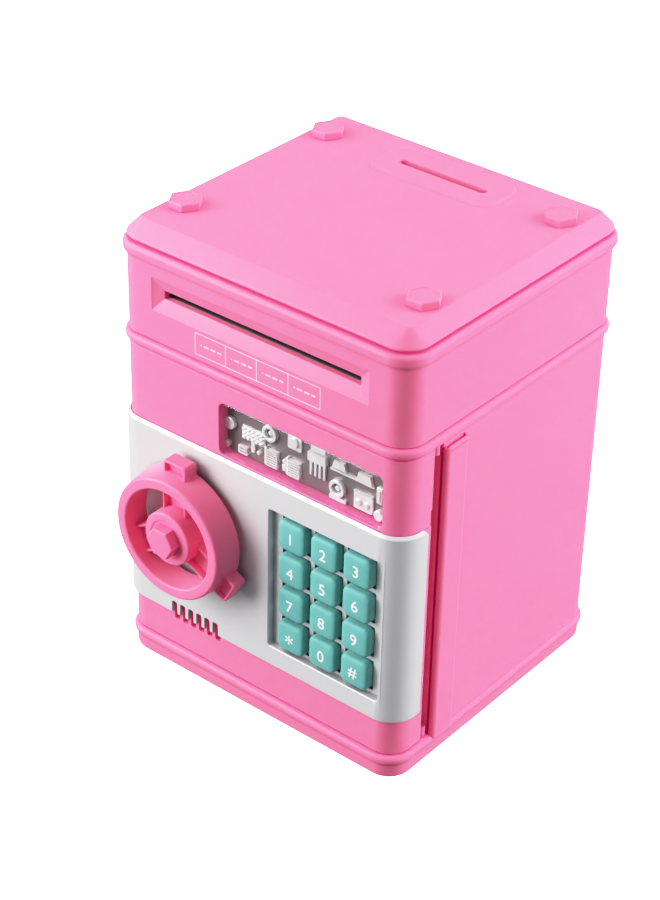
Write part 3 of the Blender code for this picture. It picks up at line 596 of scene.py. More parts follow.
def side_bar(side):
    """Upright bar beside the doorway, with rounded edges, a groove near the top and a sloped end."""
    root, face, back = 63.0, 64.0, -28.9
    front_round, back_round = 1.9, 0.9
    plan = [(root, JAMB_Y), (face, JAMB_Y)]
    plan += arc(face, JAMB_Y + front_round, front_round, -90.0, 0.0, 8)
    plan += arc(face + front_round - back_round, back - back_round, back_round, 0.0, 90.0, 5)
    plan.append((root, back))
    foot, groove, end, tip = 9.0, 131.05, 132.35, 134.0
    steps = [(0.0, foot), (0.0, groove), (0.22, groove + 0.05), (0.22, groove + 0.3), (0.0, groove + 0.35)]
    steps += [(0.0, end), (0.12, end + 0.15), (0.3, end + 0.21), (2.4, tip)]
    levels = []
    for shrink, z in steps:
        front = JAMB_Y + min(shrink, 0.6)
        levels.append(([(side * max(root, x - shrink), max(y, front)) for x, y in plan], z))
    return skin(levels)


def bar_channel(side):
    """Cutter for the shallow channel in the top of a side bar."""
    near, far = sorted((side * 64.05, side * 65.2))
    return block((near, -39.9, 131.7), (far, -29.4, 134.6))


def lower_body():
    """Base, walls and top rim in one moulding, with the door opening, jambs and side bars."""
    floor_under, floor_top = 8.5, 10.7
    base_bead, rim_bead = 6.3, 134.75
    sill, lintel = 10.9, 134.7
    base = [(-0.7, 0.0), (-0.4, 0.05), (0.0, 0.3), (0.25, 0.7), (0.35, 1.2)]
    roll = [(0.45, 0.0), (0.6, 0.3), (1.0, 0.7), (1.3, 1.3), (1.45, 2.0), (1.5, 2.5), (1.42, 3.1)]
    roll += [(1.15, 3.65), (0.75, 4.05), (0.35, 4.25), (0.0, 4.32)]
    rim = [(0.0, 0.0), (0.18, 0.2), (0.55, 0.35), (0.75, 0.55), (0.85, 0.8), (0.5, 0.93), (0.55, 1.05)]
    rim += [(1.1, 1.17), (1.3, 1.35), (BEAD, 1.75), (BEAD, 2.75), (1.28, 3.25), (1.0, 3.7), (0.6, 4.0)]
    rim += [(0.1, 4.2)]
    levels = section([(-WALL, floor_under), (-WALL, BASE_Z)]) + section(base, BASE_Z)
    levels += section(roll, base_bead) + section(rim, rim_bead)
    levels += section([(-0.4, RIM_Z), (-WALL, RIM_Z), (-WALL, floor_top)])
    piece = mesh_object("body_shell", skin(levels), PINK)
    cut(piece, block((-FAR, -FAR, sill), (FAR, JAMB_Y, lintel)))
    for side in (1, -1):
        join(piece, jamb(side), side_bar(side))
        cut(piece, bar_channel(side))
    for low, high in ((134.8, 138.5), (6.6, 10.5)):
        hinge_block = block((58.5, -46.0, low), (63.4, -38.3, high))
        join(piece, hinge_block)
    for low, high in ((134.0, 138.0), (7.4, 12.0)):
        cut(piece, prism(circle(PIN_SEAT, 24, PIN), "Z", low, high))
    bolt_keeper = block((-60.0, -50.8, 77.6), (-56.0, -45.2, 86.8))
    cut(piece, bolt_keeper)
    settle(piece, "body", "pink_abs", "lower_body")


def each_corner():
    """Names of the four corners, as they end the names of the feet and the lid's caps."""
    return [f"{end}_{side}" for end in ("front", "back") for side in ("left", "right")]


def feet():
    """Round rubber feet with a dished underside."""
    radius, edge = 5.6, 0.7
    for corner in each_corner():
        node = f"foot_{corner}"
        centre = middle(node)
        profile = [(3.4, 0.35), (3.7, 0.0)] + arc(radius - edge, edge, edge, -90.0, 0.0, 5)
        profile.append((radius, span(node)[1].z))
        pad = turned(profile, "Z", (centre.x, centre.y))
        piece = mesh_object(f"{node}_pad", pad, SLOT_LOOKS["black_rubber"])
        settle(piece, "body", "black_rubber", node)


def upper_housing():
    """Top section with a bead round its top edge and the sloped mouth of the note slot."""
    low, high = HOUSING_LOW.z, HOUSING_HIGH.z
    bead_low = 168.75
    bead = [(0.0, 0.0), (0.15, 0.25), (0.5, 0.37), (0.72, 0.55), (0.8, 0.85), (0.84, 1.1), (1.1, 1.25)]
    bead += [(1.3, 1.55), (BEAD, 2.0), (BEAD, 3.75), (1.32, 4.25), (1.1, 4.75), (0.7, 5.2), (0.2, 5.45)]
    levels = section([(-0.35, low), (-0.1, low + 0.1), (0.0, low + 0.35)]) + section(bead, bead_low)
    levels += section([(-0.2, high), (-WALL, high), (-WALL, low)])
    piece = mesh_object("housing_shell", skin(levels, closed=True), PINK)
    front = -BODY_Y
    mouth_backing = block((-49.5, front + 1.5, 150.0), (49.5, front + 4.0, 166.0))
    join(piece, mouth_backing)
    mouth_x, mouth_z, mouth_centre = 47.4, 6.25, (0.0, 157.85)
    slot_x, slot_z, slot_centre = 43.0, 1.6, (0.0, 158.0)
    mouth = ((0.5, 0.9, -0.4), (0.16, 0.6, 0.05), (-0.15, 0.5, 0.28))
    slot = ((0.3, 0.4, 1.62), (0.0, 0.3, 1.9), (0.0, 0.3, 4.5))
    opening = tiers(mouth_x, mouth_z, mouth_centre, 3, mouth, front)
    opening += tiers(slot_x, slot_z, slot_centre, 3, slot, front)
    cut(piece, skin(opening, "Y"))
    settle(piece, "body", "pink_abs", "upper_housing")


def slot_shade_sheet():
    """Black sheet behind the note slot with a shelf at its foot, in front of the rollers: painted shade,
    standing in for the shade inside the slot.
    """
    half_x, half_y, low, high = 44.5, 3.7, 156.05, 164.0
    shelf = ((0.0, 0.8, 0.0), (0.0, 0.8, 0.15), (-0.12, 0.8, 0.28))
    levels = tiers(half_x, half_y, (0.0, -52.3), 3, shelf, low)
    # painted shade: a black sheet where the slot's inside lies in shade
    piece = mesh_object("slot_shade_sheet", skin(levels), SLOT_LOOKS["black_plastic"])
    join(piece, block((-half_x, -49.0, low + 0.05), (half_x, -48.4, high)))
    settle(piece, "body", "black_plastic")


def lid():
    """Bevelled lid with a locating skirt, a raised coin pad, the coin slot and four cap seats."""
    bottom = 175.0
    flat_x, flat_y = 59.0, 54.7
    skirt_out, skirt_in = WALL + GAP, WALL + 1.9

    def flat(grow, radius, z):
        return rounded(flat_x + grow, flat_y + grow, radius), z

    levels = [flat(-0.75, 1.7, LID_TOP), flat(-0.35, 2.1, LID_TOP - 0.06)]
    levels += [flat(0.0, 2.4, LID_TOP - 0.28), flat(0.22, 2.65, LID_TOP - 0.55)]
    edge = [(-0.4, 1.6), (-0.12, 1.3), (0.0, 1.0), (-0.02, 0.8), (-0.5, 0.15), (-0.65, 0.0)]
    levels += section(edge, bottom)
    levels += section([(-skirt_out, bottom), (-skirt_out, LID_LOW.z)])
    levels += section([(-skirt_in, LID_LOW.z), (-skirt_in, bottom)])
    levels.append(flat(-1.5, 2.0, LID_TOP - WALL))
    piece = mesh_object("lid_shell", skin(levels), PINK)

    coin = (1.4, 38.0)
    pad_x, pad_y, pad_round = 27.0, 11.5, 7.0
    pad = [(0.35, -1.0), (0.35, 0.0), (0.18, 0.03), (0.0, 0.14), (-0.16, 0.3), (-0.4, 0.43), (-0.8, PAD_RISE)]
    rows = [(grow, pad_round + grow, up) for grow, up in pad]
    join(piece, skin(tiers(pad_x, pad_y, coin, ARC, rows, LID_TOP)))
    slot_x, slot_y, slot_round = 19.0, 1.6, 1.59
    slot = [(0.0, bottom - 5.0 - LID_TOP), (0.0, 0.0), (0.06, 0.25), (0.22, 0.42), (0.6, 0.56), (0.7, 2.0)]
    rows = [(grow, slot_round + grow, up) for grow, up in slot]
    cut(piece, skin(tiers(slot_x, slot_y, coin, ARC, rows, LID_TOP)))
    seat_x, seat_y, seat_radius = 51.6, 38.4, 2.3
    for side_x in (1, -1):
        for side_y in (1, -1):
            seat = circle(seat_radius, 24, (side_x * seat_x, side_y * seat_y))
            cut(piece, prism(seat, "Z", bottom, LID_TOP + 2.5))
    settle(piece, "body", "pink_abs", "lid")


def hexagon(profile, axis, centre):
    """A six-sided head from pairs of an inset from its full radius and a height."""
    return skin([(circle(HEX_RADIUS - inset, 6, centre), height) for inset, height in profile], axis)


def hex_caps():
    """Six-sided caps on the lid, each with a faintly dished top and a stem in its seat."""
    head = ((0.0, 0.1), (0.0, 2.2), (0.08, 2.5), (0.28, 2.77), (0.58, 2.92), (0.85, 2.95))
    dish = ((1.1, 2.89), (1.25, 2.71), (1.35, 2.65))
    stem_radius, stem_depth = 2.0, 3.6
    for corner in each_corner():
        node = f"hex_cap_{corner}"
        centre = middle(node)[:2]
        cap = hexagon([(inset, LID_TOP + up) for inset, up in head + dish], "Z", centre)
        piece = mesh_object(f"{node}_head", cap, PINK)
        stem = circle(stem_radius, 24, centre)
        join(piece, prism(stem, "Z", LID_TOP - stem_depth, LID_TOP + 0.5))
        settle(piece, "body", "pink_abs", node, sharp=25.0)


# ---------------- door
def wrap_path(back):
    """Stations round the front of the body outline, from the right-hand back line to the left-hand one."""
    right = [((BODY_X, back), (1.0, 0.0))]
    for step in range(ARC * 2 + 1):
        angle = math.radians(-90.0 * step / (ARC * 2))
        nx, ny = math.cos(angle), math.sin(angle)
        right.append(((BODY_X - CORNER + CORNER * nx, CORNER - BODY_Y + CORNER * ny), (nx, ny)))
    return right + [((-x, y), (-nx, ny)) for (x, y), (nx, ny) in reversed(right)]


def door_shelf(low, high):
    """Level shelf behind the door's front, which follows the rounded corners."""
    reach = CORNER - 1.2
    first = math.degrees(math.asin((PANEL_BACK + BODY_Y - CORNER) / reach))
    right = []
    for step in range(ARC + 1):
        angle = math.radians(first - (90.0 + first) * step / ARC)
        right.append((BODY_X - CORNER + reach * math.cos(angle), CORNER - BODY_Y + reach * math.sin(angle)))
    return prism(right + [(-x, y) for x, y in reversed(right)], "Z", low, high)


def window_outline(grow, radius):
    return rounded(WINDOW_X + grow, WINDOW_Z + grow, radius, WINDOW, 6)


def pan_outline(grow, radius, steps):
    return rounded(PAN_X + grow, PAN_Z + grow, radius, PAN, steps)


def through_front(outline):
    """Cutter for a hole through the front of the door."""
    return prism(outline, "Y", -FAR, CUT_END)


def shaft_hole():
    return through_front(circle(3.6, 32, (HUB.x, HUB.z)))


def grille(low):
    """Cutters for six upright speaker slots with round ends, from a given height up."""
    high, half, pitch, count = 32.1, 1.35, 4.0, 6
    slots = []
    for index in range(count):
        centre = (GRILLE_X + pitch * (index - (count - 1) / 2.0), (low + high) / 2.0)
        slots.append(through_front(rounded(half, (high - low) / 2.0, half * 0.6, centre, 3)))
    return slots


def door():
    """Door moulding: front panel, side returns, window tunnel, shelves and hinge lugs."""
    bottom, top = DOOR_LOW.z, DOOR_HIGH.z
    return_end = -45.2
    shelf_height, lug_height = 2.0, 4.0
    edge = ((-WALL, 0.0), (-0.6, 0.0), (-0.3, 0.08), (-0.08, 0.3), (0.0, 0.6))
    sheet = [(out, bottom + inward) for out, inward in edge]
    sheet += [(out, top - inward) for out, inward in reversed(edge)]
    piece = mesh_object("door_panel", swept(wrap_path(return_end), sheet), PINK)
    for low, high in ((top - shelf_height, top), (bottom, bottom + shelf_height)):
        join(piece, door_shelf(low, high))
    for low, high in ((top - lug_height, top), (bottom, bottom + lug_height)):
        web = block((60.9, -46.2, low), (62.9, -42.4, high))
        join(piece, web, prism(circle(LUG_RADIUS, 24, PIN), "Z", low, high))
        cut(piece, prism(circle(PIN_BORE, 24, PIN), "Z", low - 1.0, high + 1.0))
    front = -BODY_Y
    join(piece, prism(window_outline(1.4, 3.6), "Y", front + 1.0, PANEL_BACK))
    opening = []
    for grow, radius, depth in ((0.7, 3.1, -0.4), (0.22, 2.7, 0.04), (0.05, 2.55, 0.2), (0.0, 2.5, 0.45)):
        opening.append((window_outline(grow, radius), front + depth))
    opening.append((window_outline(0.0, 2.5), CUT_END))
    cut(piece, skin(opening, "Y"))
    cut(piece, through_front(pan_outline(1.0 + GAP, 0.5, 2)), shaft_hole(), *grille(23.1))
    for side in (1, -1):
        near, far = sorted((side * (BODY_X - 0.35), side * (BODY_X + 1.0)))
        return_notch = block((near, -48.6, 104.0), (far, -44.0, 110.4))
        cut(piece, return_notch)
    settle(piece, "door", "pink_abs", "door_shell")


def faceplate():
    """Thin silver plate over the door's lower front, with the keypad pan moulded in."""
    low, high = PLATE_LOW.z, PLATE_HIGH.z
    out = PLATE_HIGH.x - BODY_X
    return_end, pan_floor, key_hole = -48.4, -58.9, 6.35
    sheet = [(GAP, low), (out - 0.7, low), (out - 0.3, low + 0.1), (out - 0.08, low + 0.35), (out, low + 0.7)]
    sheet += [(out, high - 1.15), (out - 0.12, high - 0.85), (out - 0.85, high - 0.1), (out - 1.0, high)]
    sheet.append((GAP, high))
    piece = mesh_object("silver_plate", swept(wrap_path(return_end), sheet), SILVER)
    front = -BODY_Y - out
    join(piece, prism(pan_outline(1.0, 1.0, 3), "Y", front + 0.3, pan_floor + 1.0))
    recess = []
    for grow, depth in ((0.9, -0.4), (0.42, 0.0), (0.2, 0.12), (0.05, 0.32), (0.0, 0.6)):
        recess.append((pan_outline(grow, 1.0 + grow, 4), front + depth))
    recess.append((pan_outline(-0.1, 0.9, 4), pan_floor))
    cut(piece, skin(recess, "Y"))
    for key in KEYS:
        at = middle(f"key_{key}")
        hole = rounded(key_hole, key_hole, 0.5, (at.x, at.z), 5)
        cut(piece, prism(hole, "Y", pan_floor - 3.0, pan_floor + 3.9))
    outside = return_end + 1.0
    for edge, outward, depth in ((high, 1.0, 3.0), (low, -1.0, 2.2)):
        corner = [(outside - 1.0 - depth, edge + outward), (outside, edge + outward)]
        corner.append((outside, edge - outward * depth))
        cut(piece, prism(corner, "X", -FAR, FAR))
    cut(piece, shaft_hole(), *grille(20.0))
    settle(piece, "door", "silver_paint", "faceplate")


def key_cap(node, centre):
    """Pillow-shaped key on a square flange, from rows of (half width, corner radius, y)."""
    rows = [(6.7, 1.0, -56.9), (6.7, 1.0, -57.55), (6.0, 2.5, -57.55), (6.0, 2.5, -60.9)]
    rows += [(5.95, 2.5, -61.3), (5.8, 2.45, -61.68), (5.52, 2.4, -62.0), (5.1, 2.3, -62.22)]
    rows += [(4.3, 1.9, -62.4), (3.0, 1.4, -62.52), (1.5, 0.7, KEY_CROWN)]
    return mesh_object(f"{node}_cap", skin(tiers(0.0, 0.0, centre, 6, rows), "Y"), TEAL)


def glyph_mesh(node, sign):
    """Mesh of one printed sign, lying flat and centred on the origin."""
    text = bpy.data.curves.new(f"{node}_text", "FONT")
    text.body = sign
    text.size = (8.5 if sign == "*" else 6.4) * MM
    text.align_x = "CENTER"
    text.offset = 0.02 * MM
    text.extrude = 0.05 * MM
    text.resolution_u = 6
    glyph = bpy.data.objects.new("glyph", text)
    bpy.context.scene.collection.objects.link(glyph)
    bpy.context.view_layer.update()
    mesh = bpy.data.meshes.new_from_object(glyph.evaluated_get(bpy.context.evaluated_depsgraph_get()))
    bpy.data.objects.remove(glyph)
    low = [min(v.co[i] for v in mesh.vertices) for i in range(3)]
    high = [max(v.co[i] for v in mesh.vertices) for i in range(3)]
    mesh.transform(Matrix.Translation([-(a + b) / 2.0 for a, b in zip(low, high)]))
    return mesh


def keys():
    """Twelve rubber keys, each with a printed sign on its crown."""
    signs = {"star": "*", "hash": "#"}
    for key in KEYS:
        node = f"key_{key}"
        at = middle(node)
        piece = key_cap(node, (at.x, at.z))
        settle(piece, f"{node}_body", "teal_rubber", node, sharp=40.0)
        mesh = glyph_mesh(node, signs.get(key, key))
        mesh.transform(Matrix.Rotation(math.pi / 2.0, 4, "X"))
        mesh.transform(Matrix.Translation(Vector((at.x, KEY_CROWN - 0.03 + PLACE_Y, at.z)) * MM))
        mesh.materials.clear()
        mesh.materials.append(INK)
        mark = bpy.data.objects.new(f"{node}_mark", mesh)
        bpy.context.scene.collection.objects.link(mark)
        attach(mark, f"{node}_body")


def amount_boxes():
    """A row of four printed outline boxes under the note slot, each with plain dashes in it."""
    shape = bmesh.new()
    front = -BODY_Y
    inner, outer = front + 0.05, front - 0.04
    centre_z, half_z, half_x, line, count = 145.8, 4.1, 6.9, 0.15, 4
    rim = [(line, 0.4, inner), (line, 0.4, outer), (-line, 0.2, outer), (-line, 0.2, inner)]
    add_skin(shape, tiers(count * half_x, half_z, (0.0, centre_z), 3, rim), "Y", closed=True)
    for index in range(count):
        x = 2.0 * half_x * (index - 1.5)
        if index:
            divider = rounded(line, half_z - line - 0.01, 0.02, (x - half_x, centre_z), 2)
            add_skin(shape, [(divider, inner), (divider, outer)], "Y")
        for offset, half in ((-4.2, 0.3), (-1.9, 1.2), (1.2, 1.2), (4.0, 0.9)):
            dash = rounded(half, 0.3, 0.25, (x + offset, centre_z), 3)
            add_skin(shape, [(dash, inner), (dash, outer)], "Y")
    bmesh.ops.recalc_face_normals(shape, faces=shape.faces)
    settle(mesh_object("printed_boxes", shape, PRINT), "body", "white_plastic")


def lens():
    """Clear pane in the window, with a bevelled front edge."""
    low, high = span("window_lens")
    bevel = 0.25
    levels = [(window_outline(-GAP - bevel, 1.9), low.y)]
    levels += [(window_outline(-GAP, 2.2), y) for y in (low.y + bevel, high.y)]
    piece = mesh_object("lens_pane", skin(levels, "Y"), SLOT_LOOKS["clear_plastic"])
    settle(piece, "door", "clear_plastic", "window_lens")


class Relief:
    """Plain electronic shapes that stand on the relief panel; a rise of 1 is the full height."""

    back, front = -55.3, -56.9
    bevel = 0.2

    def __init__(self):
        self.shape = bmesh.new()

    def top(self, rise):
        return self.back + (self.front - self.back) * rise

    def raised(self, outline, rise):
        inset = 0.22
        cu = sum(point[0] for point in outline) / len(outline)
        cv = sum(point[1] for point in outline) / len(outline)
        share = 1.0 - inset / max(math.hypot(u - cu, v - cv) for u, v in outline)
        small = [(cu + (u - cu) * share, cv + (v - cv) * share) for u, v in outline]
        top = self.top(rise)
        add_skin(self.shape, [(outline, self.back), (outline, top + self.bevel), (small, top)], "Y")

    def plate(self, x, z, width, height, rise, radius):
        middle_point = (x + width / 2.0, z + height / 2.0)
        self.raised(rounded(width / 2.0, height / 2.0, radius, middle_point, 3), rise)

    def disc(self, x, z, radius, rise=1.0):
        self.raised(circle(radius, 28, (x, z)), rise)

    def ring(self, x, z, outer, inner):
        top = self.top(1.0)
        loop = [(outer, self.back), (outer, top + self.bevel), (outer - self.bevel, top)]
        loop += [(inner + self.bevel, top), (inner, top + self.bevel), (inner, self.back)]
        levels = [(circle(radius, 28, (x, z)), y) for radius, y in loop]
        add_skin(self.shape, levels, "Y", closed=True)

    def ribs(self, x, z, width, height):
        """Seven level bars joined by a spine at their left ends."""
        count = 7
        pitch = height / count
        for index in range(count):
            self.plate(x, z + pitch * index, width, pitch * 0.6, 1.0, 0.1)
        self.plate(x - 0.5, z, 0.9, height, 0.9, 0.2)

    def trapezium(self, x, z, foot, head, height):
        lean = (foot - head) / 2.0
        outline = [(x, z), (x + foot, z), (x + foot - lean, z + height), (x + lean, z + height)]
        self.raised(outline, 0.8)


def relief_shapes():
    """The shapes behind the window, from its left end to its right end."""
    parts = Relief()
    parts.disc(-15.6, 116.9, 2.5)
    parts.disc(-17.2, 107.9, 1.5)
    parts.plate(-10.4, 112.8, 10.4, 5.4, 0.35, 0.5)
    for row in range(3):
        for column in range(5):
            parts.plate(-9.8 + 1.95 * column, 113.3 + 1.6 * row, 1.3, 1.0, 0.9, 0.15)
    parts.plate(-5.9, 108.9, 1.5, 4.2, 0.6, 0.3)
    for index in range(3):
        parts.plate(-11.2, 106.6 + 1.25 * index, 3.8 - 0.6 * (index % 2), 0.6, 0.8, 0.15)
    parts.plate(-11.6, 106.6, 0.8, 3.1, 0.8, 0.15)
    parts.disc(-2.2, 110.2, 0.8)
    parts.ring(2.5, 119.9, 3.2, 1.9)
    parts.disc(2.5, 119.9, 0.8, 0.6)
    parts.ribs(1.0, 107.0, 5.4, 6.9)
    parts.ribs(10.6, 107.0, 5.6, 6.7)
    parts.plate(8.4, 107.6, 1.3, 2.6, 0.8, 0.4)
    parts.disc(9.0, 111.4, 0.7, 0.8)
    parts.plate(10.2, 117.6, 6.2, 6.2, 0.5, 0.5)
    parts.disc(13.3, 120.8, 2.0)
    parts.plate(19.6, 117.0, 8.0, 3.6, 1.0, 0.4)
    parts.plate(20.4, 121.2, 6.6, 2.6, 0.6, 0.4)
    for index in range(4):
        parts.plate(20.1 + 1.95 * index, 110.9, 0.9, 6.3, 0.5, 0.15)
    parts.trapezium(30.0, 118.6, 6.2, 4.2, 3.0)
    parts.trapezium(40.4, 117.6, 7.0, 5.0, 3.6)
    parts.plate(28.9, 117.0, 19.0, 0.7, 0.5, 0.2)
    parts.ring(32.4, 110.6, 3.3, 2.0)
    parts.disc(32.4, 110.6, 0.9, 0.7)
    parts.plate(28.8, 105.6, 7.4, 1.5, 0.6, 0.2)
    parts.plate(39.3, 106.2, 8.2, 6.0, 0.5, 0.4)
    parts.disc(41.7, 109.2, 1.2)
    parts.disc(45.1, 109.2, 1.2)
    parts.plate(39.3, 112.8, 8.2, 0.6, 0.7, 0.2)
    parts.plate(49.2, 112.2, 2.4, 6.4, 0.7, 0.3)
    parts.plate(49.9, 113.2, 1.0, 4.4, 1.0, 0.2)
    parts.disc(50.4, 107.6, 2.0)
    bmesh.ops.recalc_face_normals(parts.shape, faces=parts.shape.faces)
    return parts.shape


def relief():
    """Panel behind the window and the plain electronic shapes moulded on it."""
    centre, half_x, half_z = front_face("relief_panel")
    back = span("relief_panel")[1].y
    board = rounded(half_x, half_z, 1.5, centre, 4)
    piece = mesh_object("relief_board", prism(board, "Y", -55.4, back), RELIEF_BACK)
    settle(piece, "door", "white_plastic", "relief_panel")
    piece = mesh_object("relief_shapes", relief_shapes(), RELIEF_PART)
    settle(piece, "door", "white_plastic", sharp=25.0)


# ---------------- handwheel
WHEEL_BACK = -64.5
WHEEL_FRONT = span("handwheel")[0].y
RIM_OUTER = 24.1
RIM_INNER = 19.7
AXLE = (HUB.x, HUB.z)


def wheel_rim():
    """Ring with a flared back edge and a rounded front."""
    outer_round, inner_round = 1.0, 0.8
    flare, front = RIM_OUTER + 1.0, WHEEL_FRONT
    profile = [(RIM_INNER, WHEEL_BACK), (flare, WHEEL_BACK), (flare + 0.2, WHEEL_BACK - 0.3)]
    profile += [(flare + 0.16, WHEEL_BACK - 0.9), (RIM_OUTER + 0.03, front + 1.2)]
    profile += arc(RIM_OUTER - outer_round, front + outer_round, outer_round, 0.0, -90.0, 5)
    profile += arc(RIM_INNER + inner_round, front + inner_round, inner_round, -90.0, -180.0, 5)
    return tube(profile, "Y", AXLE, 96)


def wheel_hub():
    """Hub with a rounded front edge and a low step round the bolt."""
    radius, front = 10.7, WHEEL_FRONT
    profile = [(radius, WHEEL_BACK + 0.8), (radius, WHEEL_BACK), (radius - 0.2, front + 1.3)]
    profile += arc(radius - 1.0, front + 1.2, 0.8, 0.0, -90.0, 5)
    profile += [(7.6, front + 0.4), (7.4, front + 0.62), (7.0, front + 0.7), (4.0, front + 0.7)]
    return turned(profile, "Y", AXLE, 72)


def wheel_spoke():
    """Spoke along +X with raised edges and a shallow channel between them."""
    top, foot = WHEEL_FRONT + 4.5, WHEEL_BACK - 0.4
    channel = 2.4
    edge = [(5.5, foot), (5.4, top + 0.4), (5.2, top + 0.1), (4.9, top), (4.6, top + 0.1), (4.4, top + 0.4)]
    edge.append((4.25, top + channel))
    across = [(-5.5, foot)] + edge + [(-u, y) for u, y in reversed(edge[1:])]
    shape = bmesh.new()
    rings = []
    for along in (8.5, RIM_INNER + 1.6):
        rings.append([shape.verts.new((AXLE[0] + along, y, AXLE[1] + u)) for u, y in across])
    bridge(shape, rings, False)
    bmesh.ops.recalc_face_normals(shape, faces=shape.faces)
    return shape


def grip_lug():
    """Block on the rim at +X, with rounded front edges."""
    inside, outside, half_v = RIM_OUTER - 1.0, 29.6, 5.4
    centre = (AXLE[0] + (inside + outside) / 2.0, AXLE[1])
    half_u, front = (outside - inside) / 2.0, WHEEL_FRONT
    rows = [(0.0, 1.3, WHEEL_BACK - 0.3), (0.0, 1.3, front + 5.8), (-0.1, 1.3, front + 5.4)]
    rows += [(-0.35, 1.2, front + 5.1), (-0.7, 1.0, front + 5.0)]
    return skin(tiers(half_u, half_v, centre, 5, rows), "Y")


def lug_pocket():
    """Cutter for the pocket in the front of a grip lug at +X."""
    centre = (AXLE[0] + 26.75, AXLE[1])
    rows = ((0.35, 0.95, 4.6), (0.1, 0.7, 5.1), (0.0, 0.6, 5.4), (-0.1, 0.5, 6.8))
    return skin(tiers(1.85, 4.2, centre, 4, rows, WHEEL_FRONT), "Y")


def handwheel():
    """Handwheel with three channelled spokes, three pocketed grip lugs and a stepped hub."""
    piece = mesh_object("wheel_casting", wheel_rim(), PINK)
    join(piece, wheel_hub())
    for spoke in range(3):
        angle = math.radians(90.0 + 120.0 * spoke)
        join(piece, spun(wheel_spoke(), angle, AXLE), spun(grip_lug(), angle, AXLE))
        cut(piece, spun(lug_pocket(), angle, AXLE))
    shaft_bore = prism(circle(2.52, 32, AXLE), "Y", -71.5, -55.0)
    cut(piece, shaft_bore)
    settle(piece, "wheel", "pink_abs", "handwheel")


def hub_bolt():
    """Six-sided bolt head in the hub, with a rounded front edge."""
    low = span("wheel_hub_bolt")[0].y
    profile = ((0.0, -74.7), (0.0, low + 0.7), (0.08, low + 0.4), (0.3, low + 0.14), (0.6, low), (1.0, low))
    piece = mesh_object("hub_bolt_head", hexagon(profile, "Y", AXLE), PINK)
    settle(piece, "wheel", "pink_abs", "wheel_hub_bolt", sharp=25.0)


# ---------------- back of the door
def cover_corners():
    """Places of the four screws in the door's rear tray, given as (x, z)."""
    low, high = span("door_inner_cover")
    inset = 5.5
    return [(x, z) for z in (low.z + inset, high.z - inset) for x in (low.x + inset, high.x - inset)]


def inner_cover():
    """Rear tray of the door with rounded edges, level grooves, a battery bay and screw seats."""
    front, back = (corner.y for corner in span("door_inner_cover"))
    centre, half_x, half_z = front_face("door_inner_cover")
    wall = 1.6

    def outline(shrink):
        return rounded(half_x - shrink, half_z - shrink, max(0.8, 3.0 - shrink), centre, 6)

    steps = [(1.2, back), (0.6, back - 0.14), (0.2, back - 0.5), (0.0, back - 1.1), (0.0, front)]
    steps += [(wall, front), (wall, back - wall)]
    tray = skin([(outline(shrink), y) for shrink, y in steps], "Y")
    piece = mesh_object("door_back_cover", tray, PINK)
    bay, bay_x, bay_z = front_face("battery_cover")
    cut(piece, prism(rounded(bay_x + GAP, bay_z + GAP, 0.6, bay, 3), "Y", -40.0, -30.0))
    bolt_window = block((-60.0, -50.3, 76.8), (-50.0, -45.7, 86.3))
    cut(piece, bolt_window)
    groove_depth, groove_x, groove_z = 0.5, 34.0, 0.8
    for z in (96.0, 102.0, 108.0, 114.0):
        groove = rounded(groove_x, groove_z, 0.75, (centre[0], z), 4)
        cut(piece, prism(groove, "Y", back - groove_depth, back + 1.0))
    seat = ((2.9, back + 1.0), (2.9, back - 0.15), (2.6, back - 0.5), (2.6, back - 1.2))
    for corner in cover_corners():
        cut(piece, turned(seat, "Y", corner, 32))
    settle(piece, "door", "pink_abs", "door_inner_cover")


def cover_screws():
    """Cross-head screws sunk in the corners of the door's rear tray."""
    top = span("door_inner_cover")[1].y - 0.35
    head = ((2.1, top - 0.8), (2.1, top - 0.25), (1.9, top - 0.06), (1.3, top))
    for index, corner in enumerate(cover_corners()):
        name = f"cover_screw_{index + 1}"
        piece = mesh_object(name, turned(head, "Y", corner, 32), SLOT_LOOKS["steel"])
        for turn in (0.0, math.pi / 2.0):
            slot = prism(rounded(1.25, 0.24, 0.1, corner, 2), "Y", top - 0.5, top + 1.0)
            cut(piece, spun(slot, turn + 0.4 * index, corner))
        settle(piece, "door", "steel", sharp=25.0)


def battery_cover():
    """Battery cover with a screw seat, a grip pattern and rounded edges."""
    front, back = (corner.y for corner in span("battery_cover"))
    centre, half_x, half_z = front_face("battery_cover")
    rows = ((0.0, 0.5, front), (0.0, 0.5, back - 0.35), (-0.1, 0.5, back - 0.1), (-0.35, 0.5, back))
    piece = mesh_object("battery_hatch", skin(tiers(half_x, half_z, centre, 3, rows), "Y"), PINK)
    screw = middle("battery_cover_screw")
    seat = [(3.0, back + 1.0), (3.0, back - 0.05), (2.8, back - 0.3), (1.6, back - 0.5), (1.6, front - 1.0)]
    cut(piece, turned(seat, "Y", (screw.x, screw.z), 32))
    grips, pitch = 7, 2.2
    for index in range(grips):
        x = centre[0] + pitch * (index - grips // 2)
        grip = rounded(0.5, 5.0, 0.45, (x, centre[1] - half_z + 9.0), 4)
        cut(piece, prism(grip, "Y", back - 0.5, back + 1.0))
    settle(piece, "door", "pink_abs", "battery_cover")


